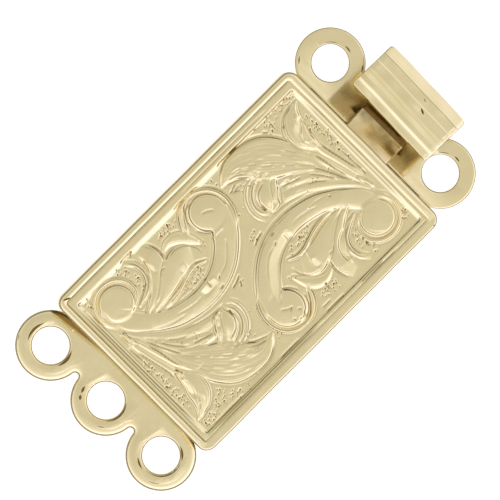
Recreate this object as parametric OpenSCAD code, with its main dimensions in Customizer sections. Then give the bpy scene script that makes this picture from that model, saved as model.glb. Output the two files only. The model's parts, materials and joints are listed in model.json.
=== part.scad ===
// Box clasp for three strands, worn at the back of a necklace or bracelet.
// The origin is the centre of the box's back face. +X runs to the thumb tab, +Z to the scroll panel.

/* [Box] */
// Length of the box without its rings
box_l = 17; // [14:0.5:24]
// Width of the box
box_w = 11; // [10:0.5:16]
// Height of the box from its back face to the top of its bead
box_h = 3; // [2.8:0.1:4.2]
// Thickness of the cover's walls
wall_t = 0.4; // [0.3:0.05:0.5]
// Radius of the box's upright corners
corner_r = 0.6; // [0.55:0.05:1.2]
// Width of the round bead along the top of the frame
bead_w = 0.52; // [0.4:0.02:0.54]
// Thickness of the flange that holds the panel down
flange_t = 0.16; // [0.12:0.02:0.24]
// Thickness of the back plate and its rings
back_t = 0.5; // [0.4:0.05:0.7]
// How far the back plate stays inside the outline of the walls
back_inset = 0.05; // [0.02:0.01:0.1]

/* [Scroll panel] */
// Thickness of the panel's base, which lies under the flange
panel_base_t = 0.29; // [0.2:0.01:0.4]
// Width of the flat border round the scrolls
border_w = 0.34; // [0.2:0.02:0.6]
// Depth of the ground below the border
ground_depth = 0.2; // [0.12:0.01:0.26]
// Height of the highest scroll above the ground
relief_h = 0.3; // [0.15:0.01:0.4]

/* [Rings] */
// Rings on each side, one for each strand
ring_count = 3; // [2:1:4]
// Distance between neighbouring strands
ring_pitch = 4; // [3.8:0.1:6]
// Outer diameter of a ring
ring_d = 3.64; // [3.2:0.02:3.7]
// Diameter of the hole in a ring
ring_hole_d = 1.94; // [1.2:0.02:2.2]
// Distance from the box's end to the ring centres
ring_reach = 1.68; // [1.4:0.02:2.4]
// Radius of a ring's rounded edge
ring_edge_r = 0.17; // [0.05:0.01:0.2]
// Width of the rounded notch between two rings
ring_gap_w = 0.4; // [0.3:0.02:0.6]
// Sideways offset of the tongue's rings, left by hand soldering
tongue_ring_offset = 0.12; // [-0.3:0.02:0.3]

/* [Tongue] */
// Thickness of the tongue's folded strip
leaf_t = 0.35; // [0.25:0.01:0.4]
// Width of the tongue's folded strip
tongue_w = 7.6; // [6:0.2:9]
// Distance from the box's end to the centre of the tongue's fold
tongue_depth = 14; // [9:0.5:15.5]
// Clear height inside the fold
fold_gap = 0.25; // [0.15:0.01:0.35]
// Width of the neck that comes out through the notch
neck_w = 2.9; // [2:0.1:4]
// Sideways offset of the neck and the thumb tab
neck_offset = -0.08; // [-0.3:0.02:0.3]
// How far the neck reaches beyond the box's end
neck_reach = 1.22; // [1:0.02:1.6]
// Length of the slanted riser between neck and tab
riser_run = 0.4; // [0.3:0.02:0.6]

/* [Thumb tab] */
// Width of the thumb tab
tab_w = 5.45; // [4:0.05:6]
// Length of the thumb tab from its near ridge to its fold
tab_l = 2.9; // [2.4:0.05:3.6]
// Thickness of the tab's folded strip
tab_strip_t = 0.28; // [0.22:0.02:0.34]
// Space between the two layers of the tab
tab_layer_gap = 0.08; // [0.04:0.01:0.12]
// Height of the tab's underside above the neck's underside
tab_lift = 0.5; // [0.4:0.02:0.7]
// Width of the round ridge along the near edge of the tab
tab_ridge_w = 0.86; // [0.6:0.02:1]
// Height of the ridge above the flat of the tab
tab_ridge_h = 0.16; // [0.05:0.01:0.25]
// Radius of the tab's corners
tab_corner_r = 0.25; // [0.1:0.05:0.4]
// Turn of the tab on its neck in degrees, left by hand folding
tab_turn = 1.6; // [0:0.1:3]

/* [Clearances] */
// Gap between pieces that seat on each other
seat_gap = 0.03; // [0.02:0.01:0.05]
// Gap between the spring leaf's root and the fold
root_gap = 0.02; // [0.02:0.01:0.04]
// Gap between the tongue and the sides of its slot
slot_gap = 0.15; // [0.1:0.01:0.3]
// Gap between the released leaf and the top of its slot
release_gap = 0.07; // [0.05:0.01:0.12]
// Gap between the spring leaf's shoulders and the end wall
catch_gap = 0.12; // [0.08:0.01:0.2]
// Gap between the spring leaf and the panel above it
leaf_top_gap = 0.12; // [0.08:0.01:0.2]
// Metal left above the notch in the end wall
notch_lip = 0.17; // [0.12:0.01:0.25]

/* [Hidden] */

arc_fn = 64;
relief_fn = 10;
overlap = 0.4;
gold = [0.86, 0.78, 0.55];
pale_gold = [0.9, 0.83, 0.62];
deep_gold = [0.72, 0.6, 0.34];

half_l = box_l / 2;
half_w = box_w / 2;
bead_r = bead_w / 2;
bead_z = box_h - bead_r;
cover_z = back_t + seat_gap;
flange_low_z = bead_z - flange_t;
opening_inset = bead_w + 0.03;
opening_l = box_l - 2 * opening_inset;
opening_w = box_w - 2 * opening_inset;

panel_l = opening_l - 2 * seat_gap;
panel_w = opening_w - 2 * seat_gap;
base_l = box_l - 2 * (wall_t + seat_gap);
base_w = box_w - 2 * (wall_t + seat_gap);
base_r = corner_r - wall_t - seat_gap;
panel_low_z = flange_low_z - seat_gap - panel_base_t;
base_top_z = flange_low_z - seat_gap;
border_z = bead_z + bead_r / 3;
ground_z = border_z - ground_depth;

ring_r = ring_d / 2;
rings_w = (ring_count - 1) * ring_pitch;
rings_y = [for (i = [0 : ring_count - 1]) i * ring_pitch - rings_w / 2];
tongue_z = back_t + seat_gap;

fold_inner_r = fold_gap / 2;
fold_outer_r = fold_inner_r + leaf_t;
pivot_x = half_l - tongue_depth;
pivot_z = tongue_z + leaf_t + fold_inner_r;
catch_run = half_l - wall_t - catch_gap - pivot_x;
catch_z = panel_low_z - leaf_top_gap;
catch_arm = sqrt(catch_run * catch_run + fold_outer_r * fold_outer_r);
spring_rise = asin((catch_z - pivot_z) / catch_arm) - atan(fold_outer_r / catch_run);
slot_top_z = pivot_z + fold_outer_r + release_gap;
notch_top_z = box_h - notch_lip;
neck_run = half_l + neck_reach - pivot_x;

// A scroll stroke is a row of round stations. The first two columns are its place as shares of the
// panel's half length and half width, then its width as a share of the panel's half width, then its
// height as a share of the relief's height. The other half of the panel repeats them, turned about
// the panel's centre.
SCROLLS = [
    // main stem, from the large head down and up to the round head
    [[-0.82, 0.46, 0.24, 0.7], [-0.74, 0.30, 0.26, 0.8], [-0.64, 0.19, 0.23, 0.8], [-0.53, 0.11, 0.23, 0.8],
     [-0.42, 0.06, 0.25, 0.8], [-0.30, 0.05, 0.28, 0.8], [-0.18, 0.08, 0.31, 0.85], [-0.08, 0.17, 0.34, 0.9],
     [0.01, 0.28, 0.35, 0.9], [0.08, 0.43, 0.36, 0.95], [0.05, 0.62, 0.40, 1.0]],
    // rim of the large head
    [[-0.90, 0.52, 0.11, 0.9], [-0.89, 0.70, 0.11, 0.9], [-0.83, 0.82, 0.10, 0.9], [-0.74, 0.83, 0.10, 0.9],
     [-0.68, 0.73, 0.09, 0.9], [-0.69, 0.60, 0.08, 0.8], [-0.75, 0.54, 0.06, 0.7]],
    // disc of the large head
    [[-0.80, 0.68, 0.30, 0.6], [-0.79, 0.66, 0.30, 0.6]],
    // hook beside the large head
    [[-0.60, 0.88, 0.07, 0.6], [-0.56, 0.77, 0.09, 0.7], [-0.56, 0.64, 0.09, 0.7], [-0.61, 0.53, 0.08, 0.6],
     [-0.69, 0.45, 0.04, 0.4]],
    // upper lobe of the inner leaf
    [[-0.48, 0.84, 0.12, 0.7], [-0.42, 0.72, 0.24, 0.9], [-0.43, 0.60, 0.22, 0.8], [-0.50, 0.46, 0.20, 0.7],
     [-0.58, 0.38, 0.12, 0.6], [-0.64, 0.33, 0.04, 0.4]],
    // lower lobe of the inner leaf
    [[-0.22, 0.48, 0.17, 0.9], [-0.29, 0.54, 0.22, 0.9], [-0.38, 0.48, 0.19, 0.8], [-0.47, 0.39, 0.10, 0.6]],
    // small leaf above the lower lobe
    [[-0.33, 0.71, 0.05, 0.5], [-0.25, 0.73, 0.09, 0.6], [-0.19, 0.63, 0.08, 0.6], [-0.14, 0.52, 0.05, 0.5]],
    // rim of the round head
    [[-0.15, 0.64, 0.05, 0.6], [-0.13, 0.78, 0.07, 0.7], [-0.06, 0.88, 0.06, 0.7], [0.02, 0.91, 0.04, 0.5]],
    // first rib of the plume, along the stem
    [[-0.90, 0.38, 0.05, 0.4], [-0.82, 0.18, 0.08, 0.5], [-0.73, 0.01, 0.11, 0.6], [-0.62, -0.10, 0.12, 0.6],
     [-0.49, -0.18, 0.10, 0.5], [-0.41, -0.23, 0.04, 0.4]],
    // middle rib of the plume
    [[-0.88, 0.20, 0.05, 0.4], [-0.82, 0.0, 0.08, 0.5], [-0.75, -0.19, 0.11, 0.6], [-0.65, -0.33, 0.15, 0.7],
     [-0.55, -0.45, 0.17, 0.8], [-0.42, -0.57, 0.15, 0.7], [-0.29, -0.66, 0.07, 0.5], [-0.22, -0.70, 0.03, 0.4]],
    // lower rib of the plume, with its curled end
    [[-0.75, -0.26, 0.07, 0.5], [-0.68, -0.48, 0.13, 0.7], [-0.59, -0.66, 0.17, 0.8], [-0.49, -0.79, 0.17, 0.8],
     [-0.38, -0.83, 0.12, 0.7], [-0.28, -0.79, 0.06, 0.6], [-0.22, -0.72, 0.03, 0.4]],
    // leaf in the corner under the plume
    [[-0.92, 0.20, 0.03, 0.3], [-0.90, 0.0, 0.05, 0.4], [-0.86, -0.21, 0.08, 0.6], [-0.82, -0.41, 0.15, 0.8],
     [-0.81, -0.59, 0.17, 0.8], [-0.86, -0.71, 0.09, 0.6], [-0.93, -0.78, 0.03, 0.4]],
    // small curled leaf
    [[-0.45, -0.20, 0.06, 0.5], [-0.38, -0.19, 0.09, 0.7], [-0.32, -0.27, 0.09, 0.7], [-0.32, -0.39, 0.08, 0.7],
     [-0.39, -0.47, 0.06, 0.6], [-0.47, -0.46, 0.03, 0.4]],
];

// Flat outline with rounded corners, centred.
module rounded_outline(l, w, r) {
    square([l - 2 * r, w], center = true);
    square([l, w - 2 * r], center = true);
    for (x = [-1, 1], y = [-1, 1])
        translate([x * (l / 2 - r), y * (w / 2 - r)])
            circle(r = r, $fn = arc_fn);
}

// Section of the cover: wall, round bead and flange. Its first axis runs outwards from a corner's centre.
module cover_section() {
    translate([corner_r - wall_t, cover_z])
        square([wall_t, bead_z - cover_z]);
    translate([corner_r - bead_r, bead_z])
        circle(r = bead_r, $fn = arc_fn);
    translate([corner_r - opening_inset, flange_low_z])
        square([opening_inset - wall_t / 2, flange_t]);
}

// The cover's section swept along the four sides and round the four corners.
module cover_sweep() {
    side_l = box_l - 2 * corner_r;
    side_w = box_w - 2 * corner_r;
    for (turn = [0, 180]) rotate([0, 0, turn]) {
        translate([half_l - corner_r, side_w / 2, 0])
            rotate([90, 0, 0])
                linear_extrude(side_w) cover_section();
        translate([-side_l / 2, half_w - corner_r, 0])
            rotate([90, 0, 90])
                linear_extrude(side_l) cover_section();
        translate([side_l / 2, side_w / 2, 0])
            rotate_extrude(angle = 90, $fn = arc_fn) cover_section();
        translate([-side_l / 2, side_w / 2, 0])
            rotate([0, 0, 90])
                rotate_extrude(angle = 90, $fn = arc_fn) cover_section();
    }
}

module cover_frame() {
    slot_w = tongue_w + 2 * slot_gap;
    notch_w = neck_w + 2 * slot_gap;
    wall_x = half_l - wall_t - catch_gap / 2;
    color(gold)
        difference() {
            cover_sweep();
            translate([wall_x, -slot_w / 2, 0])
                cube([wall_t + overlap, slot_w, slot_top_z]);
            translate([wall_x, neck_offset - notch_w / 2, 0])
                cube([wall_t + overlap, notch_w, notch_top_z]);
        }
}

// One segment of a stroke: two low cones joined.
module stroke_segment(a, b) {
    hull()
        for (station = [a, b])
            translate([station[0] * panel_l / 2, station[1] * panel_w / 2, ground_z])
                cylinder(h = station[3] * relief_h, r1 = station[2] * panel_w / 4,
                         r2 = station[2] * panel_w / 8, $fn = relief_fn);
}

module scroll_panel() {
    pocket_slope = ground_depth;
    color(pale_gold) {
        translate([0, 0, panel_low_z])
            linear_extrude(panel_base_t) rounded_outline(base_l, base_w, base_r);
        translate([0, 0, base_top_z - panel_base_t / 2])
            linear_extrude(ground_z - base_top_z + panel_base_t / 2)
                square([panel_l, panel_w], center = true);
        difference() {
            translate([0, 0, base_top_z - panel_base_t / 2])
                linear_extrude(border_z - base_top_z + panel_base_t / 2)
                    square([panel_l, panel_w], center = true);
            hull() {
                translate([0, 0, ground_z])
                    linear_extrude(ground_depth / 8)
                        square([panel_l - 2 * (border_w + pocket_slope),
                                panel_w - 2 * (border_w + pocket_slope)], center = true);
                translate([0, 0, border_z])
                    linear_extrude(ground_depth)
                        square([panel_l - 2 * border_w, panel_w - 2 * border_w], center = true);
            }
        }
        for (turn = [0, 180]) rotate([0, 0, turn])
            for (stroke = SCROLLS)
                for (i = [0 : len(stroke) - 2])
                    stroke_segment(stroke[i], stroke[i + 1]);
    }
}

// A ring's disc with rounded edges.
module ring_disc(t) {
    rotate_extrude($fn = arc_fn) {
        square([ring_r - ring_edge_r, t]);
        translate([0, ring_edge_r]) square([ring_r, t - 2 * ring_edge_r]);
        translate([ring_r - ring_edge_r, ring_edge_r]) circle(r = ring_edge_r, $fn = arc_fn);
        translate([ring_r - ring_edge_r, t - ring_edge_r]) circle(r = ring_edge_r, $fn = arc_fn);
    }
}

// A row of rings at x = reach, and the web that joins them to an edge at x = 0. The web runs on past
// that edge by root.
module ring_row(reach, t, root) {
    difference() {
        union() {
            for (y = rings_y)
                translate([reach, y, 0]) ring_disc(t);
            difference() {
                translate([-root, -rings_w / 2 - ring_r / 4, 0])
                    cube([root + reach + ring_gap_w / 2, rings_w + ring_r / 2, t]);
                for (side = [-1, 1])
                    translate([reach, side * (rings_w / 2 + ring_r / 4 + ring_gap_w / 2) - ring_gap_w / 2, -t / 2])
                        cube([ring_gap_w, ring_gap_w, 2 * t]);
            }
        }
        for (i = [0 : ring_count - 2])
            translate([reach + ring_gap_w / 2, (rings_y[i] + rings_y[i + 1]) / 2, -t / 2])
                cylinder(h = 2 * t, d = ring_gap_w, $fn = arc_fn);
        for (y = rings_y)
            translate([reach, y, -t / 2]) cylinder(h = 2 * t, d = ring_hole_d, $fn = arc_fn);
        translate([-root - ring_r, -rings_w / 2 - ring_r, -t / 2])
            cube([ring_r, rings_w + 2 * ring_r, 2 * t]);
    }
}

module back_plate() {
    plate_l = box_l - 2 * back_inset;
    plate_w = box_w - 2 * back_inset;
    color(gold)
        union() {
            linear_extrude(back_t) rounded_outline(plate_l, plate_w, corner_r);
            translate([-plate_l / 2, 0, 0])
                mirror([1, 0, 0]) ring_row(ring_reach + back_inset, back_t, overlap);
        }
}

// Strip in the XZ plane given as a flat outline, made w wide and centred on y.
module across(w, y = 0) {
    translate([0, y + w / 2, 0])
        rotate([90, 0, 0])
            linear_extrude(w) children();
}

// Side view of the tongue's lower leaf and fold, with the fold's centre at the origin.
module fold_section(run) {
    far = 2 * fold_outer_r;
    difference() {
        circle(r = fold_outer_r, $fn = arc_fn);
        circle(r = fold_inner_r, $fn = arc_fn);
        polygon([[0, 0], [-far * sin(spring_rise), far * cos(spring_rise)], [far, far], [far, -far], [0, -far]]);
    }
    translate([0, -fold_outer_r]) square([run, leaf_t]);
}

module tongue_plate() {
    plate_x = half_l + 2 * seat_gap;
    color(gold)
        union() {
            translate([pivot_x, 0, pivot_z])
                across(tongue_w) fold_section(plate_x - pivot_x + overlap);
            translate([plate_x, tongue_ring_offset, tongue_z])
                ring_row(ring_reach - 2 * seat_gap, back_t, 0);
        }
}

// Side view of the folded thumb tab. Its near edge is at x = 0 and its underside at y = 0.
module tab_section() {
    upper_y = tab_strip_t + tab_layer_gap;
    fold_r = tab_strip_t + tab_layer_gap / 2;
    ridge_r = (tab_ridge_w * tab_ridge_w / 4 + tab_ridge_h * tab_ridge_h) / (2 * tab_ridge_h);
    difference() {
        union() {
            square([tab_l - fold_r, tab_strip_t]);
            translate([0, upper_y]) square([tab_l - fold_r, tab_strip_t]);
            translate([tab_l - fold_r, fold_r])
                intersection() {
                    circle(r = fold_r, $fn = arc_fn);
                    translate([0, -fold_r]) square([fold_r, 2 * fold_r]);
                }
        }
        translate([tab_l - fold_r, fold_r]) circle(d = tab_layer_gap, $fn = arc_fn);
    }
    intersection() {
        translate([tab_ridge_w / 2, upper_y + tab_strip_t + tab_ridge_h - ridge_r])
            circle(r = ridge_r, $fn = arc_fn);
        translate([0, upper_y + tab_strip_t / 2]) square([tab_ridge_w, tab_strip_t + tab_ridge_h]);
    }
}

// The spring leaf as it lies level, with the centre of its fold at the origin.
module level_leaf() {
    tab_x = neck_run + riser_run;
    tab_z = fold_inner_r + tab_lift;
    across(tongue_w)
        translate([root_gap, fold_inner_r]) square([catch_run - root_gap, leaf_t]);
    across(neck_w, neck_offset) {
        translate([catch_run - overlap, fold_inner_r])
            square([neck_run - catch_run + overlap, leaf_t]);
        polygon([[neck_run - leaf_t / 2, fold_inner_r], [neck_run, fold_outer_r],
                 [tab_x, tab_z + tab_strip_t], [tab_x + overlap, tab_z + tab_strip_t],
                 [tab_x + overlap, tab_z], [neck_run + leaf_t, fold_inner_r]]);
    }
    translate([tab_x + tab_l / 2, neck_offset, tab_z])
        rotate([0, 0, -tab_turn])
            translate([-tab_l / 2, 0, 0])
                intersection() {
                    across(tab_w) tab_section();
                    translate([tab_l / 2, 0, -tab_l / 2])
                        linear_extrude(tab_l) rounded_outline(tab_l, tab_w, tab_corner_r);
                }
}

module spring_leaf() {
    color(deep_gold)
        translate([pivot_x, 0, pivot_z])
            rotate([0, -spring_rise, 0]) level_leaf();
}

cover_frame();
scroll_panel();
back_plate();
tongue_plate();
spring_leaf();
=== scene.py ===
# %% [markdown]
# # A box clasp in gold plate
#
# This is a clasp for a necklace or bracelet of three strands. A box holds a pressed scroll panel, a row of
# rings stands at each end, and a springy tongue with a thumb tab locks the two halves together. The packed
# model gives every piece its place. This script gives each piece its real surface: soft edges, a struck
# relief and polished gold that shows its bends, lines and small pits.

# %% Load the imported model
import json
import math

import bmesh
import bpy
import numpy as np
from mathutils import Matrix, Vector, noise


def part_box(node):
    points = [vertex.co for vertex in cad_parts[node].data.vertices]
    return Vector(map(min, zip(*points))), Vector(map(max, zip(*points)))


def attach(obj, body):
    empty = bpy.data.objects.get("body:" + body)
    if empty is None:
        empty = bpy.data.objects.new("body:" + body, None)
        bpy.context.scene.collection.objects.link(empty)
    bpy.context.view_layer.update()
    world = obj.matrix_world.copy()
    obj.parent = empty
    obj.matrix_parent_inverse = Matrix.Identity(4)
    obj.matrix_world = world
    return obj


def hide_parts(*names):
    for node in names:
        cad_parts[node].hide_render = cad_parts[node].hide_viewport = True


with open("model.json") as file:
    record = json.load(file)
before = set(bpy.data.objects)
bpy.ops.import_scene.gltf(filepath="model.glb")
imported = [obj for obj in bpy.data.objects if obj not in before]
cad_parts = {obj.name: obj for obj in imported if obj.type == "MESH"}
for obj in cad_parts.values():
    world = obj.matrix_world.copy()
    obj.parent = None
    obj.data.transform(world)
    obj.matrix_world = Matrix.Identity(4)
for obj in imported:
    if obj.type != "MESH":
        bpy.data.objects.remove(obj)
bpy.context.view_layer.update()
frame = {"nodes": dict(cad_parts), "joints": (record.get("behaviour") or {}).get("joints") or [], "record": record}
MM = 0.001
bores = {m["name"]: m for m in frame["record"]["mounts"] if m["kind"] == "bore"}
print("nodes:", sorted(frame["nodes"]), "ring holes:", len(bores))

# %% [markdown]
# ## Working at a watchmaker's scale
#
# The clasp is 25 mm long and some of its lines are a twentieth of a millimetre wide. Blender's operators
# round off such lengths in metres, so each piece is modelled with one unit for one millimetre, and is
# shrunk to metres when it is finished. The place stays in the mesh, and the object stays at the origin.


# %% Helpers for modelling
def node_box(node):
    """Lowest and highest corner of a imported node, in millimetres."""
    low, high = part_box(node)
    return low / MM, high / MM


def name_newest(name, size=None):
    """Names the object that was just added, and puts its size, turn and place into its mesh."""
    piece = bpy.context.object
    piece.name = name
    piece.data.name = name
    if size is not None:
        piece.scale = size
    bpy.ops.object.transform_apply(location=True, rotation=True, scale=True)
    return piece


def work_on(piece):
    """Makes one piece the only selected and active one."""
    bpy.ops.object.select_all(action="DESELECT")
    piece.select_set(True)
    bpy.context.view_layer.objects.active = piece


def open_mesh(piece):
    """Goes into edit mode on one piece."""
    work_on(piece)
    bpy.ops.object.mode_set(mode="EDIT")


def close_mesh():
    """Turns every face outwards and leaves edit mode."""
    bpy.ops.mesh.select_all(action="SELECT")
    bpy.ops.mesh.normals_make_consistent(inside=False)
    bpy.ops.object.mode_set(mode="OBJECT")


def middle(part):
    """The middle of an edge or a face."""
    return sum((v.co for v in part.verts), Vector()) / len(part.verts)


def pick(kind, test):
    """In edit mode, selects only the edges or the faces that pass the test."""
    bpy.ops.mesh.select_mode(type=kind)
    bpy.ops.mesh.select_all(action="DESELECT")
    mesh = bmesh.from_edit_mesh(bpy.context.edit_object.data)
    for part in {"EDGE": mesh.edges, "FACE": mesh.faces}[kind]:
        if test(part):
            part.select_set(True)
    mesh.select_flush_mode()
    bmesh.update_edit_mesh(bpy.context.edit_object.data)


def extrude(x, y, z):
    """In edit mode, extrudes what is selected as one region."""
    bpy.ops.mesh.extrude_region_move(TRANSFORM_OT_translate={"value": (x, y, z)})


def slice_across(axis, places):
    """In edit mode, cuts the whole mesh by planes across one axis, so that it can bend there."""
    normal = [1.0 if i == axis else 0.0 for i in range(3)]
    for place in places:
        bpy.ops.mesh.select_all(action="SELECT")
        bpy.ops.mesh.bisect(plane_co=[place * n for n in normal], plane_no=normal)


def face_from(name, corners):
    """Starts a piece as one flat face with the given corners, selected in edit mode."""
    bpy.ops.object.select_all(action="DESELECT")
    bpy.ops.mesh.primitive_circle_add(vertices=len(corners), radius=1, fill_type="NGON")
    piece = name_newest(name)
    for v, corner in zip(piece.data.vertices, corners):
        v.co = corner
    bpy.ops.object.mode_set(mode="EDIT")
    bpy.ops.mesh.select_all(action="SELECT")
    return piece


def move_points(piece, move):
    """Moves every vertex of a piece by a rule."""
    for v in piece.data.vertices:
        v.co = move(v.co)
    piece.data.update()


def use_modifier(piece, kind, **settings):
    """Adds a modifier to a piece, sets it and applies it."""
    work_on(piece)
    modifier = piece.modifiers.new(kind.title(), kind)
    for key, value in settings.items():
        setattr(modifier, key, value)
    bpy.ops.object.modifier_apply(modifier=modifier.name)


def cut_with(piece, cutter, **settings):
    """Cuts another object's form out of a piece, and throws the cutter away."""
    use_modifier(piece, "BOOLEAN", operation="DIFFERENCE", solver="EXACT", object=cutter, **settings)
    bpy.data.objects.remove(cutter)


def ramp(value, start, end):
    """Climbs from 0 at the start to 1 at the end."""
    return min(max((value - start) / (end - start), 0.0), 1.0)


# %% Helpers for finishing
def coat(piece, material):
    """Gives a piece its main finish, and leaves the finishes of its marks as they are."""
    if not piece.data.materials:
        piece.data.materials.append(material)
    for i, finish in enumerate(piece.data.materials):
        if i == 0 or finish is None:
            piece.data.materials[i] = material


def paint_shade(piece, rule):
    """Paints shade on a piece: browns it by a rule that gives the share of painted shade at a point."""
    spread = piece.data.attributes.new("painted_shade", "FLOAT", "POINT")
    spread.data.foreach_set("value", [rule(v.co) for v in piece.data.vertices])


def finish_piece(piece, node, body, material, smooth_deg=35, flat_faces=False):
    """Shrinks a finished piece to metres, smooths it, hangs it under its body and hides its node in its place."""
    work_on(piece)
    piece.scale = (MM, MM, MM)
    bpy.ops.object.transform_apply(location=True, rotation=True, scale=True)
    bpy.ops.object.shade_smooth_by_angle(angle=math.radians(smooth_deg))
    if flat_faces:
        use_modifier(piece, "WEIGHTED_NORMAL", keep_sharp=True, weight=80)
    coat(piece, material)
    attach(piece, body)
    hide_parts(node)
    print(f"{piece.name}: {len(piece.data.vertices)} vertices, {len(piece.data.polygons)} faces")


# %% [markdown]
# ## Gold plate
#
# The real clasp is brass with a thin coat of pale gold, polished in a barrel. Gold is a metal, so its
# colour is all in its reflection: a face that sees the bright tent is pale, and a groove, where the light
# is reflected two or three times, goes to deep gold and brown by itself. The plating follows every mark
# of the metal below it, so the finish is never a perfect mirror.


# %% Colour and node helpers
def linear(hex_colour):
    """An sRGB hex colour as Blender's linear red, green, blue and alpha."""
    shares = [int(hex_colour[i:i + 2], 16) / 255 for i in (0, 2, 4)]
    return [s / 12.92 if s <= 0.04045 else ((s + 0.055) / 1.055) ** 2.4 for s in shares] + [1.0]


def empty_tree(owner):
    """The node tree of a material or a world, emptied."""
    owner.use_nodes = True
    owner.node_tree.nodes.clear()
    return owner.node_tree


def add_node(tree, kind, inputs=None, **settings):
    """Adds one node. An input that is given a socket, or a node for its first output, is linked to it, and
    any other is set."""
    node = tree.nodes.new("ShaderNode" + kind)
    for key, value in settings.items():
        setattr(node, key, value)
    for key, value in (inputs or {}).items():
        if isinstance(value, bpy.types.Node):
            value = next(output for output in value.outputs if output.enabled)
        if isinstance(value, bpy.types.NodeSocket):
            tree.links.new(value, node.inputs[key])
        else:
            node.inputs[key].default_value = value
    return node


# %% The gold finishes
GOLD_PALE = "faebba"
GOLD_DEEP = "f5e2ab"
# The brown of the painted shade, which darkens grooves, dents and places that lie in shade.
PAINTED_SHADE_BROWN = "80652f"
POLISH_LOW = 0.12
POLISH_HIGH = 0.22
PAINTED_SHADE_ROUGH = 0.12


def gold_plate(name, wave_mm, wave_depth_mm, draw_axis, draw_depth_mm):
    """Polished gold plate. Waves are the unevenness of hand polishing, draw lines run along one axis, and
    painted shade browns and dulls the metal where a piece sets its share of it."""
    material = bpy.data.materials.new(name)
    tree = empty_tree(material)
    place = add_node(tree, "TexCoord").outputs["Object"]
    # The tint drifts by a shade over a few millimetres, as thin plating does.
    tint = add_node(tree, "TexNoise", {"Vector": place, "Scale": 1 / (3.0 * MM), "Detail": 3.0})
    clean = add_node(tree, "Mix", {"Factor": tint, "A": linear(GOLD_PALE), "B": linear(GOLD_DEEP)},
                     data_type="RGBA")
    # Painted shade: a share of brown that each piece sets where shade falls on it. The metal there is duller too.
    painted_shade_share = add_node(tree, "Attribute", attribute_name="painted_shade").outputs["Fac"]
    colour = add_node(tree, "Mix", {"Factor": painted_shade_share, "A": clean, "B": linear(PAINTED_SHADE_BROWN)}, data_type="RGBA")
    # Barrel polishing leaves patches that are a little duller.
    patches = add_node(tree, "TexNoise", {"Vector": place, "Scale": 1 / (0.7 * MM), "Detail": 4.0})
    polish = add_node(tree, "MapRange", {"Value": patches, "From Min": 0.3, "From Max": 0.7,
                                         "To Min": POLISH_LOW, "To Max": POLISH_HIGH})
    rough = add_node(tree, "Math", {0: painted_shade_share, 1: PAINTED_SHADE_ROUGH, 2: polish}, operation="MULTIPLY_ADD")
    # Draw lines: a noise that is stretched forty times along the way the strip was drawn.
    stretch = [1 / (0.09 * MM)] * 3
    stretch[draw_axis] = 1 / (3.6 * MM)
    drawn_place = add_node(tree, "Mapping", {"Vector": place, "Scale": stretch})
    drawn = add_node(tree, "TexNoise", {"Vector": drawn_place, "Scale": 1.0, "Detail": 2.0})
    # Small pits, a tenth of a millimetre wide, about one in every two millimetres.
    cells = add_node(tree, "TexVoronoi", {"Vector": place, "Scale": 1 / (1.9 * MM)})
    pits = add_node(tree, "MapRange", {"Value": cells, "From Min": 0.012, "From Max": 0.035,
                                       "To Min": -0.03 * MM, "To Max": 0.0})
    waves = add_node(tree, "TexNoise", {"Vector": place, "Scale": 1 / (wave_mm * MM), "Detail": 1.5})
    height = add_node(tree, "Math", {0: waves, 1: wave_depth_mm * MM}, operation="MULTIPLY")
    height = add_node(tree, "Math", {0: drawn, 1: draw_depth_mm * MM, 2: height}, operation="MULTIPLY_ADD")
    height = add_node(tree, "Math", {0: height, 1: pits}, operation="ADD")
    bump = add_node(tree, "Bump", {"Height": height, "Strength": 1.0, "Distance": 1.0})
    shader = add_node(tree, "BsdfPrincipled", {"Base Color": colour, "Metallic": 1.0, "Roughness": rough,
                                               "Normal": bump})
    add_node(tree, "OutputMaterial", {"Surface": shader})
    return material


polished = gold_plate("polished_gold_plate", 1.3, 0.012, 0, 0.0006)
pressed = gold_plate("pressed_gold_plate", 0.5, 0.004, 0, 0.0004)
drawn_strip = gold_plate("drawn_gold_strip", 1.1, 0.010, 1, 0.0028)


def painted_shade_finish():
    """Painted shade for nicks and tight bends: a streaky dark brown over dull plating."""
    material = bpy.data.materials.new("painted_shade_on_gold")
    tree = empty_tree(material)
    place = add_node(tree, "TexCoord").outputs["Object"]
    streaks = add_node(tree, "TexNoise", {"Vector": place, "Scale": 1 / (0.12 * MM), "Detail": 3.0})
    colour = add_node(tree, "Mix", {"Factor": streaks, "A": linear("6e552e"), "B": linear("9c7d48")},
                      data_type="RGBA")
    shader = add_node(tree, "BsdfPrincipled", {"Base Color": colour, "Metallic": 1.0, "Roughness": 0.36})
    add_node(tree, "OutputMaterial", {"Surface": shader})
    return material


painted_shade = painted_shade_finish()
print("finishes:", polished.name, pressed.name, drawn_strip.name, painted_shade.name)

# %% [markdown]
# ### Nicks
#
# Small nicks stand out on the real clasp as dark marks. A burin, a long rounded body,
# cuts each nick, and the faces that it leaves take the burin's own brown finish, which is painted shade in the
# cut.

# %% Cut nicks
NICK_DEPTH = 0.07


def cut_painted_shade(piece, burin):
    """Cuts with a burin, whose brown finish stays in the cut as painted shade."""
    burin.data.materials.append(painted_shade)
    cut_with(piece, burin, material_mode="TRANSFER")


def nick(piece, marks, high_z):
    """Cuts small nicks into a face: x, y, length, width and turn in degrees. Their faces take the painted shade.
    """
    for x, y, length, width, turn_deg in marks:
        bpy.ops.object.select_all(action="DESELECT")
        bpy.ops.mesh.primitive_uv_sphere_add(segments=24, ring_count=12, radius=0.5, location=(x, y, high_z),
                                             rotation=(0, 0, math.radians(turn_deg)))
        cut_painted_shade(piece, name_newest("burin", (length, width, NICK_DEPTH * 2)))


# %% [markdown]
# ## The frame
#
# The cover is one pressing: four thin walls, a round bead along the top, and a narrow flange inside it that
# holds the panel down. It starts as a block with four bevelled upright edges. The bead is a row of insets
# on the top face, each a little further in and a little higher or lower, which keeps the bead even round
# the corners. A second row of insets from below hollows the block, and the two meet at the opening.

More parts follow.
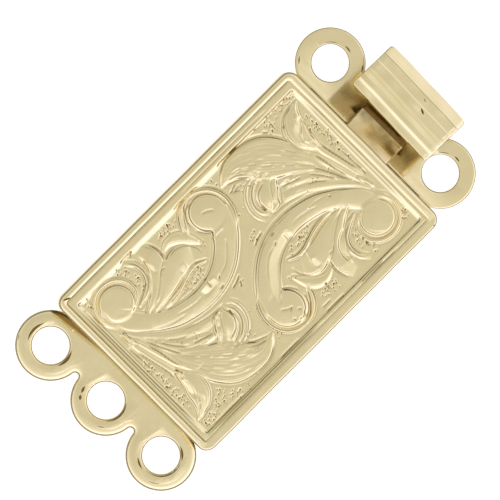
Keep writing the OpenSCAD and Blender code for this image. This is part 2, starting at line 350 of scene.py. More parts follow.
# %% Sizes of the frame
cover_low, cover_high = node_box("cover_frame")
CORNER_R = 0.6
WALL_T = 0.4
BEAD_W = 0.48
BEAD_START = 0.02
BEAD_FOOT = 0.05
BEAD_RISE = 0.11
BEAD_STEPS = 16
BEAD_CURVE = 1.8
OPENING_INSET = 0.50
OPENING_SHIFT = Vector((-0.035, 0.033, 0))
FLANGE_T = 0.29
SLICE_STEP = 0.5
bead_base = cover_high.z - BEAD_RISE
print(f"frame {cover_high.x - cover_low.x:.2f} x {cover_high.y - cover_low.y:.2f} mm, top {cover_high.z:.2f}")


# %% Model the frame
def bead_section():
    """The bead from outside to inside, as pairs of how far in and how high above its base."""
    section = [(0.0, -BEAD_FOOT)]
    for i in range(BEAD_STEPS + 1):
        across = 2 * i / BEAD_STEPS - 1
        rise = BEAD_RISE * (1 - abs(across) ** BEAD_CURVE)
        section.append((BEAD_START + (BEAD_W - BEAD_START) * i / BEAD_STEPS, rise))
    return section


def make_frame():
    size = cover_high - cover_low
    block_high = bead_base - BEAD_FOOT
    bpy.ops.object.select_all(action="DESELECT")
    bpy.ops.mesh.primitive_cube_add(size=1, location=(0, 0, (cover_low.z + block_high) / 2))
    piece = name_newest("bead_frame", (size.x, size.y, block_high - cover_low.z))
    bpy.ops.object.mode_set(mode="EDIT")
    pick("EDGE", lambda e: abs(e.verts[0].co.z - e.verts[1].co.z) > 1)
    bpy.ops.mesh.bevel(offset=CORNER_R, segments=12, affect="EDGES")
    pick("FACE", lambda f: f.normal.z > 0.9)
    section = bead_section()
    for (in_a, up_a), (in_b, up_b) in zip(section, section[1:]):
        bpy.ops.mesh.inset(thickness=in_b - in_a, depth=up_b - up_a)
    bpy.ops.mesh.inset(thickness=OPENING_INSET - BEAD_W, depth=0)
    extrude(0, 0, -FLANGE_T)
    bpy.ops.mesh.delete(type="FACE")
    pick("FACE", lambda f: f.normal.z < -0.9)
    bpy.ops.mesh.inset(thickness=WALL_T, depth=0)
    extrude(0, 0, bead_base - FLANGE_T - cover_low.z)
    bpy.ops.mesh.inset(thickness=OPENING_INSET - WALL_T, depth=0)
    bpy.ops.mesh.delete(type="FACE")
    bpy.ops.mesh.select_all(action="SELECT")
    bpy.ops.mesh.remove_doubles(threshold=0.002)
    slice_across(0, np.arange(-7.5, 7.6, SLICE_STEP))
    slice_across(1, np.arange(-4.5, 4.6, SLICE_STEP))
    close_mesh()
    return piece


frame_piece = make_frame()

# %% [markdown]
# The tongue enters through a slot in the end wall, and its neck comes out through a notch above the slot.
# Both are cut with blocks, as a file would cut them. Last, the frame is moved a few hundredths of a
# millimetre in slow waves, because a hand-finished bead is never quite straight.

# %% Cut the slot and the notch
SLOT_W = 7.9
SLOT_TOP = 1.55
NOTCH_W = 3.2
NOTCH_TOP = 2.86
NECK_Y = -0.08
CUT_IN = 0.06
CUT_OUT = 9.5


def cut_opening(piece, y, width, top):
    """Cuts an opening through the end wall at the tongue's end."""
    low = Vector((cover_high.x - WALL_T - CUT_IN, y - width / 2, 0))
    high = Vector((CUT_OUT, y + width / 2, top))
    bpy.ops.object.select_all(action="DESELECT")
    bpy.ops.mesh.primitive_cube_add(size=1, location=(low + high) / 2)
    cut_with(piece, name_newest("cutter", high - low))


cut_opening(frame_piece, 0, SLOT_W, SLOT_TOP)
cut_opening(frame_piece, NECK_Y, NOTCH_W, NOTCH_TOP)
print(f"slot {SLOT_W} x {SLOT_TOP} mm, notch {NOTCH_W} mm wide")

# %% Wear and wander of the frame
SKIRT_X = -8.0
SKIRT_DROP = 0.2
WORN_BY = 0.06
WANDER_SEED = 2
FRAME_NICKS = [(-7.88, 5.19, 0.44, 0.09, -25), (8.0, -5.42, 0.25, 0.07, 10)]
FRAME_NICKS_Z = 2.98


def wander(co, every_mm, by_mm):
    """A slow drift of a point, by up to a given amount."""
    return co + noise.noise_vector(co / every_mm) * by_mm


def shift_opening(co):
    """The opening was pressed a little off the middle, so the bead is wider on two sides."""
    depth = min(cover_high.x - abs(co.x), cover_high.y - abs(co.y)) / OPENING_INSET
    return co + OPENING_SHIFT * min(max(depth, 0), 1)


def drop_skirt(co):
    """At the ring end the cover's foot reaches down over the plate, where the plate is dented."""
    at_foot = co.z < cover_low.z + 0.01 and co.x < SKIRT_X
    return co - Vector((0, 0, SKIRT_DROP)) if at_foot else co


def wear(co):
    """The bead is worn flat along the lower side."""
    limit = cover_high.z - WORN_BY * ramp(-co.y, 4.7, 5.1)
    return Vector((co.x, co.y, min(co.z, limit)))


# Unseeded, the noise would give another drift in every run.
noise.seed_set(WANDER_SEED)
for change in (drop_skirt, wear, shift_opening, lambda co: wander(co, 1.6, 0.016)):
    move_points(frame_piece, change)
coat(frame_piece, polished)
nick(frame_piece, FRAME_NICKS, FRAME_NICKS_Z)
finish_piece(frame_piece, "cover_frame", "case", polished)

# %% [markdown]
# ## The scroll panel
#
# The panel is sheet metal struck in a die: leafy scrolls stand up from a ground with a stippled surface, and
# a bevel leads down to it from a flat border. One half of the design is charted below, stroke by
# stroke, and the other half is the same design turned by half a turn about the middle. A fine grid takes
# the shape, because scrolls that run over and into each other are one skin on the real panel too.

# %% Sizes of the panel
panel_low, panel_high = node_box("scroll_panel")
PANEL_L = 16.02
PANEL_W = 10.02
PANEL_MID = (OPENING_SHIFT.x, OPENING_SHIFT.y)
GRID_X = 390
GRID_Y = 242
BORDER_Z = 2.875
GROUND_Z = 2.74
RELIEF = 0.12
print(f"panel cells {PANEL_L / GRID_X:.3f} x {PANEL_W / GRID_Y:.3f} mm, foot {panel_low.z:.2f} mm")

# %% [markdown]
# ### The chart
#
# Each stroke is a short row of stations along its middle line: x and y in millimetres from the middle of the
# panel, the stroke's width there, and its height as a share of the full relief. A stroke leans to its left
# when its crest lies left of its middle line, seen along the row. Its crown is how far its top falls towards
# its sides, and its foot is how deep a line runs round it.

# %% Chart of the strokes
STROKES = [
    # name, lean, crown, foot, stations
    ("blade by the stem", 0.3, 0.25, 0.25, [
        (-7.1, 1.95, 0.15, 0.5), (-6.6, 1.2, 0.4, 0.5), (-5.9, 0.42, 0.6, 0.5), (-5.1, -0.22, 0.65, 0.5),
        (-4.3, -0.6, 0.6, 0.45), (-3.5, -0.85, 0.5, 0.35), (-2.8, -0.92, 0.25, 0.2)]),
    ("blade below it", 0.3, 0.25, 0.25, [
        (-6.9, 1.5, 0.1, 0.5), (-6.4, 0.55, 0.45, 0.55), (-5.85, -0.3, 0.75, 0.6), (-5.2, -0.88, 0.85, 0.6),
        (-4.5, -1.2, 0.75, 0.6), (-3.9, -1.45, 0.35, 0.5)]),
    ("plume body", 0.35, 0.35, 0.6, [
        (-6.25, -0.35, 0.5, 0.6), (-5.85, -1.15, 1.0, 0.75), (-5.25, -1.95, 1.7, 0.9),
        (-4.75, -2.55, 2.2, 1.0), (-4.15, -3.1, 2.35, 1.0), (-3.5, -3.5, 1.95, 0.95),
        (-2.85, -3.72, 1.4, 0.85), (-2.25, -3.68, 0.8, 0.7), (-1.75, -3.5, 0.2, 0.5)]),
    ("left blade", -0.3, 0.3, 0.5, [
        (-7.15, 1.9, 0.12, 0.5), (-6.88, 0.95, 0.35, 0.6), (-6.58, 0.0, 0.5, 0.7),
        (-6.33, -0.85, 0.45, 0.7), (-6.15, -1.45, 0.15, 0.5)]),
    ("outer left blade", -0.3, 0.3, 0.5, [
        (-7.25, 1.7, 0.1, 0.4), (-7.1, 0.7, 0.36, 0.55), (-6.92, -0.2, 0.46, 0.65),
        (-6.72, -1.0, 0.46, 0.65), (-6.6, -1.6, 0.2, 0.5)]),
    ("sliver leaf", 0.0, 0.8, 0.8, [
        (-7.25, 2.05, 0.12, 0.5), (-7.14, 1.55, 0.26, 0.9), (-7.0, 1.05, 0.12, 0.5)]),
    ("corner leaf", -0.1, 1.0, 0.8, [
        (-6.72, -1.25, 0.25, 0.6), (-6.52, -1.8, 0.75, 0.9), (-6.38, -2.35, 1.2, 1.1),
        (-6.45, -2.9, 1.35, 1.1), (-6.72, -3.38, 1.05, 0.95), (-7.08, -3.7, 0.6, 0.75),
        (-7.5, -3.9, 0.15, 0.5)]),
    ("curled leaf outer arc", 0.0, 0.5, 0.8, [
        (-2.1, -0.7, 0.2, 0.5), (-1.93, -1.1, 0.25, 0.6), (-1.92, -1.6, 0.26, 0.6),
        (-2.15, -2.15, 0.26, 0.6), (-2.6, -2.55, 0.2, 0.5), (-3.2, -2.72, 0.12, 0.4)]),
    ("curled leaf arc", 0.0, 0.5, 0.8, [
        (-2.5, -0.8, 0.25, 0.6), (-2.24, -1.15, 0.3, 0.7), (-2.22, -1.6, 0.32, 0.7),
        (-2.45, -2.05, 0.34, 0.7), (-2.9, -2.4, 0.34, 0.7), (-3.45, -2.55, 0.2, 0.5)]),
    ("curled leaf", 0.2, 0.7, 0.8, [
        (-3.9, -2.35, 0.3, 0.6), (-3.45, -2.0, 0.9, 0.85), (-3.05, -1.6, 1.15, 1.05),
        (-2.8, -1.15, 0.8, 0.95), (-2.72, -0.8, 0.25, 0.6)]),
    ("curled leaf tip", -0.4, 0.8, 0.8, [
        (-4.05, -1.95, 0.25, 0.6), (-3.75, -1.7, 0.4, 0.95), (-3.45, -1.25, 0.45, 1.05),
        (-3.15, -0.85, 0.35, 0.95), (-2.85, -0.75, 0.2, 0.6)]),
    ("small leaf", 0.2, 0.6, 0.8, [
        (-2.8, 3.4, 0.15, 0.5), (-2.25, 3.55, 0.5, 0.6), (-1.72, 3.38, 0.7, 0.65), (-1.35, 2.95, 0.6, 0.65),
        (-1.05, 2.4, 0.25, 0.5)]),
    ("hook", -0.2, 0.5, 0.8, [
        (-4.6, 4.42, 0.3, 0.5), (-4.22, 3.95, 0.34, 0.75), (-4.15, 3.35, 0.36, 0.8),
        (-4.38, 2.85, 0.4, 0.8), (-4.88, 2.5, 0.38, 0.75), (-5.5, 2.28, 0.2, 0.55)]),
    ("upper lobe", 0.1, 0.45, 0.8, [
        (-3.55, 4.35, 0.7, 0.8), (-3.35, 3.75, 1.05, 1.0), (-3.5, 3.05, 1.15, 1.0), (-4.05, 2.4, 1.0, 0.95),
        (-4.8, 1.98, 0.65, 0.85), (-5.5, 1.75, 0.25, 0.6)]),
    ("lower lobe", -0.1, 0.45, 0.8, [
        (-1.8, 2.2, 1.3, 0.95), (-2.35, 2.48, 1.5, 1.05), (-3.1, 2.3, 1.3, 1.0), (-3.9, 1.92, 0.85, 0.9),
        (-4.7, 1.65, 0.45, 0.75), (-5.4, 1.55, 0.15, 0.5)]),
    ("narrow leaf", 0.4, 0.8, 0.8, [
        (-5.0, 1.35, 0.12, 0.6), (-4.35, 1.3, 0.28, 0.85), (-3.65, 1.38, 0.34, 0.95),
        (-3.05, 1.55, 0.3, 0.9), (-2.5, 1.72, 0.3, 0.9), (-2.0, 1.74, 0.26, 0.85),
        (-1.5, 1.55, 0.12, 0.6)]),
    ("head rim", -0.1, 0.5, 0.7, [
        (-7.0, 2.3, 0.4, 0.8), (-7.32, 2.75, 0.36, 0.9), (-7.42, 3.3, 0.34, 0.9), (-7.2, 3.9, 0.34, 0.9),
        (-6.75, 4.28, 0.34, 0.9), (-6.2, 4.38, 0.32, 0.85), (-5.6, 4.22, 0.3, 0.85), (-5.17, 3.8, 0.3, 0.8),
        (-5.05, 3.25, 0.3, 0.8), (-5.22, 2.8, 0.26, 0.7), (-5.65, 2.45, 0.15, 0.5)]),
    ("head disc", 0.0, 0.2, 0.0, [(-6.27, 3.22, 2.0, 1.0), (-6.23, 3.22, 2.0, 1.0)]),
    ("stem", 0.1, 0.5, 0.6, [
        (-6.8, 2.75, 0.8, 0.95), (-6.42, 2.08, 1.15, 0.95), (-5.8, 1.4, 1.12, 0.95),
        (-5.15, 0.9, 1.12, 0.95), (-4.45, 0.55, 1.18, 0.95), (-3.5, 0.33, 1.24, 0.95),
        (-2.6, 0.29, 1.28, 0.95), (-1.75, 0.43, 1.34, 1.0), (-1.0, 0.75, 1.4, 1.0),
        (-0.32, 1.26, 1.45, 1.05), (0.28, 1.93, 1.5, 1.1), (0.62, 2.7, 1.6, 1.1)]),
    ("rim of the round head", 0.0, 0.5, 0.8, [
        (0.75, 1.55, 0.15, 0.8), (1.2, 2.1, 0.3, 0.95), (1.45, 2.8, 0.32, 0.95), (1.42, 3.5, 0.32, 0.95),
        (1.12, 4.05, 0.3, 0.9), (0.6, 4.4, 0.26, 0.8), (0.0, 4.5, 0.15, 0.6)]),
    ("ribbon", 0.6, 0.9, 0.8, [
        (-1.25, 3.05, 0.25, 0.7), (-1.08, 3.6, 0.42, 1.0), (-0.78, 4.05, 0.45, 1.0),
        (-0.35, 4.38, 0.32, 0.9), (0.1, 4.5, 0.15, 0.6)]),
    ("round head", 0.0, 0.25, 0.0, [(0.33, 3.2, 2.05, 1.15), (0.29, 3.26, 2.05, 1.15)]),
]
print(len(STROKES), "strokes in each half")

# %% [markdown]
# Grooves are cut into the strokes afterwards: creases down the middle of a stem, the double lines inside its
# edges, the rings round the two heads and the fan of lines in the plume.

# %% Chart of the grooves
GROOVES = [
    # name, width, depth, points
    ("stem crease left", 0.09, 0.018, [
        (-6.9, 2.0), (-6.2, 1.15), (-5.5, 0.72), (-4.8, 0.47), (-4.1, 0.35)]),
    ("stem crease middle", 0.09, 0.018, [(-4.5, 0.65), (-3.9, 0.48), (-3.3, 0.38), (-2.9, 0.42)]),
    ("stem crease right", 0.1, 0.022, [(-1.6, 0.5), (-0.9, 0.72), (-0.35, 1.2), (0.0, 1.65)]),
    ("deep cut in the plume", 0.11, 0.055, [(-6.62, 0.9), (-6.3, 0.2), (-5.95, -0.5), (-5.72, -0.9)]),
    ("second deep cut", 0.11, 0.055, [(-6.68, 0.6), (-6.5, 0.0), (-6.37, -0.7), (-6.22, -1.3)]),
    ("third cut", 0.1, 0.045, [(-6.15, 0.3), (-5.75, -0.3), (-5.3, -0.85)]),
    ("fourth cut", 0.1, 0.04, [(-5.75, 0.1), (-5.35, -0.25), (-4.9, -0.5)]),
    ("left cut", 0.1, 0.05, [(-7.3, 0.8), (-7.1, -0.1), (-6.92, -0.95), (-6.85, -1.6)]),
    ("outer left cut", 0.1, 0.045, [(-7.45, 1.2), (-7.4, 0.4), (-7.36, -0.5)]),
    ("upper plume edge", 0.1, 0.055, [(-4.95, -0.97), (-4.4, -1.15), (-3.85, -1.36)]),
    ("line under the stem", 0.09, 0.03, [(-5.0, -0.05), (-4.2, -0.38), (-3.3, -0.58), (-2.4, -0.62)]),
    ("plume tip line", 0.1, 0.055, [(-3.15, -2.8), (-2.55, -3.15), (-1.95, -3.4)]),
    ("plume tip lower line", 0.09, 0.045, [(-3.0, -3.15), (-2.6, -3.4), (-2.15, -3.5)]),
    ("tick on the curl", 0.12, 0.08, [(-2.47, -1.0), (-2.46, -1.4)]),
    ("curl line", 0.1, 0.045, [(-2.5, -1.55), (-2.85, -1.95), (-3.4, -2.15)]),
    ("lobe edge line", 0.09, 0.05, [(-3.1, 4.35), (-2.9, 3.95), (-2.82, 3.6), (-2.9, 3.2)]),
    ("lobe second line", 0.08, 0.03, [(-3.25, 4.3), (-3.05, 3.95), (-2.97, 3.6)]),
    ("lobe fold", 0.1, 0.035, [(-3.7, 2.6), (-3.45, 2.82), (-3.2, 2.78)]),
    ("lower lobe line", 0.09, 0.035, [
        (-2.75, 2.98), (-2.25, 3.05), (-1.75, 2.85), (-1.4, 2.4), (-1.32, 1.95)]),
    ("head disc line", 0.09, 0.03, [
        (-6.75, 4.02), (-6.2, 4.15), (-5.62, 3.92), (-5.32, 3.4), (-5.4, 2.85), (-5.85, 2.42)]),
    ("head disc second line", 0.08, 0.022, [
        (-6.0, 4.0), (-5.62, 3.72), (-5.44, 3.35), (-5.5, 2.92), (-5.85, 2.55)]),
    ("round head mark", 0.12, 0.03, [(0.0, 3.4), (0.3, 3.3), (0.62, 3.08)]),
    ("round head side", 0.11, 0.055, [(-0.85, 3.3), (-0.72, 3.75), (-0.42, 4.1), (0.0, 4.28)]),
    ("round head foot", 0.1, 0.05, [(-0.8, 3.0), (-0.55, 2.6), (-0.2, 2.3)]),
    ("bar across the glint", 0.1, 0.06, [(-2.24, 0.44), (-2.22, 0.78)]),
    ("mark beside the glint", 0.14, 0.05, [(-1.7, 0.42), (-1.52, 0.55)]),
    ("mark below the glint", 0.14, 0.05, [(-2.0, 0.02), (-1.72, 0.06)]),
    ("cut below the stem", 0.13, 0.08, [(-1.55, -0.42), (-1.15, -0.32), (-0.8, -0.15)]),
]

# Lines that keep to a stroke: stroke, place across it as a share of half its width, from, to, width, depth.
EDGE_LINES = [
    ("stem", -0.86, 0.0, 0.96, 0.09, 0.036), ("stem", -0.68, 0.45, 0.92, 0.08, 0.028),
    ("stem", 0.86, 0.42, 0.86, 0.08, 0.034), ("stem", 0.72, 0.5, 0.82, 0.07, 0.02),
    ("hook", 0.1, 0.05, 0.9, 0.08, 0.045), ("curled leaf arc", 0.0, 0.05, 0.9, 0.08, 0.04),
    ("curled leaf outer arc", 0.0, 0.05, 0.9, 0.08, 0.03), ("head rim", 0.1, 0.4, 0.98, 0.08, 0.03),
    ("corner leaf", 0.84, 0.3, 0.95, 0.08, 0.034), ("corner leaf", 0.66, 0.3, 0.9, 0.08, 0.026),
    ("plume body", -0.93, 0.3, 0.95, 0.08, 0.045), ("plume body", -0.84, 0.4, 0.9, 0.07, 0.025),
    ("narrow leaf", 0.0, 0.1, 0.9, 0.07, 0.025), ("rim of the round head", 0.0, 0.05, 0.95, 0.08, 0.04),
    ("ribbon", -0.55, 0.1, 0.9, 0.08, 0.045), ("lower lobe", 0.8, 0.0, 0.35, 0.08, 0.03),
]

# The fans of lines: stroke, how many lines, and the share of half its width that they span.
FANS = [
    ("plume body", 12, 0.78), ("blade by the stem", 2, 0.45), ("blade below it", 3, 0.5),
    ("corner leaf", 2, 0.35),
]
print(len(GROOVES), "grooves,", len(EDGE_LINES), "edge lines,", len(FANS), "fans")

# %% [markdown]
# On the finished panel some things lie outside the two equal halves: flat facets that the burnisher left,
# fine lines along the border, and the patches that were struck with a matting punch.

# %% Chart of facets, die lines and matting
# Short facets: x, y, half length, half width, turn in degrees, and how far they turn to the lamp.
FACETS = [
    (-2.3, 0.5, 0.6, 0.26, 5, 1.0), (2.42, -2.45, 0.2, 0.34, 0, 1.0), (-7.15, 3.0, 0.13, 0.5, 0, 0.9),
    (-3.72, 3.3, 0.13, 0.42, 0, 0.9), (-2.6, 2.1, 0.26, 0.14, 35, 0.6), (-3.75, -1.85, 0.26, 0.19, 30, 0.7),
    (-3.25, -1.05, 0.4, 0.15, 55, 0.7), (-1.02, 2.28, 0.1, 0.24, 0, 0.7), (-0.05, 2.12, 0.42, 0.09, 8, 0.9),
    (-6.66, -2.15, 0.19, 0.85, -8, 0.9), (-7.14, 1.5, 0.1, 0.45, -10, 0.7),
    (-0.85, 3.85, 0.16, 0.8, -32, 0.6), (-4.1, 1.38, 0.75, 0.09, 8, 0.7),
]

# Long facets that fall off to one side: how steeply they fall to the right of their line, and stations
# x, y, width.
BANDS = [
    (0.27, [
        (-0.35, -2.65, 0.1), (-0.08, -2.15, 0.44), (0.36, -1.58, 0.6), (0.9, -1.03, 0.64),
        (1.5, -0.72, 0.62), (2.05, -0.55, 0.6), (2.42, -0.49, 0.58)]),
    (-0.3, [(3.8, -3.55, 0.42), (3.84, -3.1, 0.42), (4.06, -2.68, 0.34), (4.5, -2.35, 0.2)]),
    (0.3, [(3.28, 0.8, 0.2), (3.5, 1.15, 0.36), (3.85, 1.43, 0.4), (4.3, 1.55, 0.34)]),
    (0.3, [(3.85, 1.14, 0.12), (4.6, 1.3, 0.14)]),
    (0.3, [(1.05, 0.1, 0.1), (1.7, 0.27, 0.14), (2.35, 0.33, 0.12)]),
    (0.3, [(1.15, 0.34, 0.1), (1.8, 0.48, 0.12), (2.35, 0.54, 0.1)]),
    (0.3, [(6.28, 2.45, 0.22), (6.4, 2.85, 0.38), (6.75, 3.13, 0.34), (7.15, 3.38, 0.14)]),
]

# Fine lines that the die left: from x, y, to x, y, and depth.
DIE_LINES = [
    (-7.88, -4.5, -7.86, 4.5, 0.045), (-7.74, -4.3, -7.72, 4.45, 0.05), (-7.6, -2.6, -7.58, 4.2, 0.034),
    (-7.9, -4.82, 0.4, -4.8, 0.055), (-7.6, -4.93, 0.6, -4.91, 0.05), (-7.3, -4.66, -4.9, -4.65, 0.04),
    (-2.4, -4.68, -0.9, -4.66, 0.04), (3.3, -4.83, 4.9, -4.82, 0.06), (3.4, -4.94, 5.9, -4.92, 0.055),
    (1.0, -4.66, 2.3, -4.66, 0.05), (1.0, -4.36, 1.6, -4.36, 0.05), (0.0, 4.84, 6.2, 4.8, 0.028),
    (7.78, -3.6, 7.8, 4.2, 0.034), (-4.12, 4.4, -3.86, 4.62, 0.08), (3.2, 4.56, 3.75, 4.57, 0.07),
    (5.2, -0.52, 5.36, -0.64, 0.06), (7.41, -0.75, 7.43, -1.08, 0.07), (6.9, 2.35, 7.0, 2.6, 0.06),
    (6.05, 3.54, 6.2, 3.64, 0.05), (3.0, 2.62, 3.05, 2.5, 0.06), (1.8, 3.1, 2.0, 3.14, 0.07),
    (-0.45, -3.7, -0.38, -3.86, 0.06), (-0.25, -3.95, -0.05, -3.98, 0.06), (0.15, -3.92, 0.3, -3.8, 0.05),
    (-0.3, -3.34, -0.1, -3.24, 0.035), (0.05, -3.5, 0.22, -3.62, 0.04), (1.9, 3.12, 2.35, 3.3, 0.04),
    (1.9, 3.05, 2.3, 2.86, 0.04), (1.95, 3.0, 2.4, 3.08, 0.04), (4.9, 4.55, 5.05, 4.52, 0.07),
    (5.15, 4.15, 5.35, 3.95, 0.07), (5.72, 3.95, 5.82, 4.15, 0.08),
]

# Patches of the ground that the matting punch struck: x, y, reach, and how many dents.
MATTED = [
    (-7.38, -0.5, 0.16, 9), (-7.38, -0.9, 0.16, 9), (-7.38, -1.3, 0.18, 10), (-7.38, -1.7, 0.18, 10),
    (-7.36, -2.1, 0.2, 10), (-7.34, -2.5, 0.2, 10), (-7.34, -2.9, 0.16, 7), (-7.4, 0.0, 0.12, 5),
    (-7.3, -4.3, 0.22, 10), (-6.85, -4.3, 0.24, 11), (-6.4, -4.25, 0.26, 11), (-5.95, -4.15, 0.3, 12),
    (-5.5, -4.2, 0.3, 11), (-5.1, -4.4, 0.22, 7), (-5.65, -3.7, 0.22, 7), (-4.5, -4.6, 0.12, 3),
    (-3.2, 1.15, 0.2, 7), (-2.8, 1.3, 0.22, 9), (-2.4, 1.35, 0.24, 10), (-2.0, 1.3, 0.2, 8),
    (-2.3, 4.1, 0.28, 11), (-1.9, 4.05, 0.3, 12), (-1.55, 4.15, 0.24, 8), (-4.85, 3.9, 0.24, 10),
    (-4.72, 3.4, 0.2, 9), (-4.85, 2.95, 0.2, 7), (-5.1, 4.25, 0.2, 7), (-7.42, 3.95, 0.14, 6),
    (-7.3, 4.25, 0.16, 5), (-1.1, -0.6, 0.2, 6), (-0.95, -0.45, 0.16, 5), (-2.5, -2.65, 0.25, 5),
    (-1.55, -1.8, 0.2, 2), (-5.3, -0.6, 0.3, 4), (-4.4, -0.85, 0.35, 4), (-6.1, 0.1, 0.3, 4),
    (0.15, 3.72, 0.35, 9), (-1.5, -3.9, 0.3, 4), (-0.95, 2.35, 0.18, 3),
]
print(len(FACETS) + len(BANDS), "facets,", len(DIE_LINES), "die lines,", len(MATTED), "matted patches")


# %% Follow a line on the grid
def smooth_path(rows, steps=9):
    """A smooth curve that passes through rows of numbers."""
    rows = np.array(rows, float)
    ends = np.vstack([2 * rows[0] - rows[1], rows, 2 * rows[-1] - rows[-2]])
    out = []
    for i in range(1, len(ends) - 2):
        a, b, c, d = ends[i - 1:i + 3]
        for s in np.arange(steps) / steps:
            out.append(0.5 * (2 * b + (c - a) * s + (2 * a - 5 * b + 4 * c - d) * s ** 2
                              + (3 * b - a - 3 * c + d) * s ** 3))
    return np.array(out + [ends[-2]])


def beside(path, share, start=0.0, end=1.0):
    """The line that keeps to a share of half the width beside a stroke's middle line."""
    run = np.gradient(path[:, :2], axis=0)
    run /= np.linalg.norm(run, axis=1)[:, None] + 1e-9
    left = np.stack([-run[:, 1], run[:, 0]], axis=1)
    line = path[:, :2] + left * (path[:, 2:3] / 2 * share)
    first, last = round(start * (len(line) - 1)), round(end * (len(line) - 1))
    return line[first:last + 1]


def along_path(path, place, column):
    """A column of a path's numbers at places from 0 to 1 along it."""
    return np.interp(place * (len(path) - 1), np.arange(len(path)), column)


xs = np.linspace(-PANEL_L / 2, PANEL_L / 2, GRID_X + 1) + PANEL_MID[0]
ys = np.linspace(-PANEL_W / 2, PANEL_W / 2, GRID_Y + 1) + PANEL_MID[1]
grid_x, grid_y = np.meshgrid(xs, ys)


def near_line(path, reach):
    """For the grid points near a line: their window, distance, side, and place along it from 0 to 1."""
    low, high = path[:, :2].min(0) - reach, path[:, :2].max(0) + reach
    i0, i1 = np.searchsorted(xs, (low[0], high[0]))
    j0, j1 = np.searchsorted(ys, (low[1], high[1]))
    window = (slice(j0, j1), slice(i0, i1))
    px, py = grid_x[window], grid_y[window]
    best = np.full(px.shape, np.inf)
    side = np.zeros(px.shape)
    place = np.zeros(px.shape)
    for k, (a, b) in enumerate(zip(path[:-1, :2], path[1:, :2])):
        run = b - a
        t = np.clip(((px - a[0]) * run[0] + (py - a[1]) * run[1]) / (run @ run + 1e-12), 0, 1)
        dx, dy = px - a[0] - t * run[0], py - a[1] - t * run[1]
        far = dx * dx + dy * dy
        nearer = far < best
        best = np.where(nearer, far, best)
        side = np.where(nearer, np.sign(run[0] * dy - run[1] * dx), side)
        place = np.where(nearer, (k + t) / (len(path) - 1), place)
    return window, np.sqrt(best), side, place


def smooth_step(share):
    """Eases a share from 0 to 1 in and out."""
    return share * share * (3 - 2 * share)


# %% Lay strokes and cut grooves
SHOULDER_W = 0.19
SHOULDER_SHARE = 0.4
FOOT_W = 0.045
FOOT_DEPTH = 0.028
FOOT_OUT = 0.01
LEAN_FADE = 12
START_FADE = 0.2
DOT_L = 0.5
GROOVE_FADE = 6
GROOVE_SHARE = 0.34
GROOVE_MIN = 0.032


def lay_stroke(height, cuts, path, lean, crown, foot):
    """Lays a stroke over what is there: a narrow shoulder, a crowned top and a line round its foot."""
    window, far, side, place = near_line(path, path[:, 2].max() / 2 + FOOT_W * 2)
    width = along_path(path, place, path[:, 2])
    share = along_path(path, place, path[:, 3])
    across = np.clip(side * far / (width / 2 + 1e-9), -1, 1)
    lean_here = lean * np.clip(np.minimum(place, 1 - place) * LEAN_FADE, 0, 1)
    slope = (across - lean_here) / (1 + np.abs(lean_here))
    depth = width / 2 - far
    rise = np.clip(depth / np.minimum(SHOULDER_W, width * SHOULDER_SHARE + 1e-6), 0, 1)
    long_enough = np.hypot(*(path[-1, :2] - path[0, :2])) > DOT_L
    start = np.clip(place / START_FADE, 0, 1) ** 0.7 if long_enough else 1.0
    cover = smooth_step(rise) * start
    top = share * RELIEF * (1 - 0.5 * crown * slope ** 2)
    height[window] = height[window] * (1 - cover) + top * cover
    line = foot * FOOT_DEPTH * start * np.exp(-((depth + FOOT_OUT) / FOOT_W) ** 2)
    cuts[window] = np.maximum(cuts[window] * (1 - cover), line)


def cut_groove(depth_map, line, width, depth):
    """Cuts a groove that runs out at both ends."""
    window, far, side, place = near_line(line, width)
    fade = np.clip(np.minimum(place, 1 - place) * GROOVE_FADE, 0, 1) ** 0.7
    cut = depth * fade * np.exp(-(far / max(width * GROOVE_SHARE, GROOVE_MIN)) ** 2)
    depth_map[window] = np.maximum(depth_map[window], cut)


# %% Shape both halves of the relief
DESIGN_MID_Y = 0.075
DARK_SHARE = 0.35
DARK_DASH_W = 0.09
SOFT_DASH_W = 0.22


def half_turned(rows, turned):
    """Stations of the charted half, or of the same half turned about the middle of the design."""
    rows = np.array(rows, float)
    if turned:
        rows[:, 0] = -rows[:, 0]
        rows[:, 1] = 2 * DESIGN_MID_Y - rows[:, 1]
    return rows


def cut_fan_line(cuts, path, share, rng):
    """One line of a fan, as a row of dashes: a few are short, dark cuts, and the rest are soft."""
    start = rng.uniform(0.0, 0.25)
    while start < 0.8:
        dark = rng.uniform() < DARK_SHARE
        end = start + (rng.uniform(0.05, 0.12) if dark else rng.uniform(0.25, 0.6))
        line = beside(path, share, start, min(end, 0.95))
        if dark:
            cut_groove(cuts, line, DARK_DASH_W, rng.uniform(0.016, 0.026))
        else:
            cut_groove(cuts, line, SOFT_DASH_W, rng.uniform(0.006, 0.012))
        start = end + rng.uniform(0.0, 0.08)
        share += rng.uniform(-0.02, 0.02)


def shape_half(turned):
    """Heights and cuts of one half of the design."""
    paths = {name: smooth_path(half_turned(rows, turned)) for name, lean, crown, foot, rows in STROKES}
    raised, cuts = np.zeros(grid_x.shape), np.zeros(grid_x.shape)
    for name, lean, crown, foot, rows in STROKES:
        lay_stroke(raised, cuts, paths[name], lean, crown, foot)
    for name, width, depth, rows in GROOVES:
        cut_groove(cuts, smooth_path(half_turned(rows, turned)), width, depth)
    for stroke, share, start, end, width, depth in EDGE_LINES:
        cut_groove(cuts, beside(paths[stroke], share, start, end), width, depth)
    rng = np.random.default_rng(5)
    for stroke, count, span in FANS:
        for i in range(count):
            cut_fan_line(cuts, paths[stroke], span * (2 * (i + 0.5) / count - 1), rng)
    return raised, cuts


half_a, half_b = shape_half(False), shape_half(True)
raised = np.maximum(half_a[0], half_b[0])
cuts = np.maximum(half_a[1], half_b[1])
print(f"relief up to {raised.max():.3f} mm, cuts down to {cuts.max():.3f} mm")

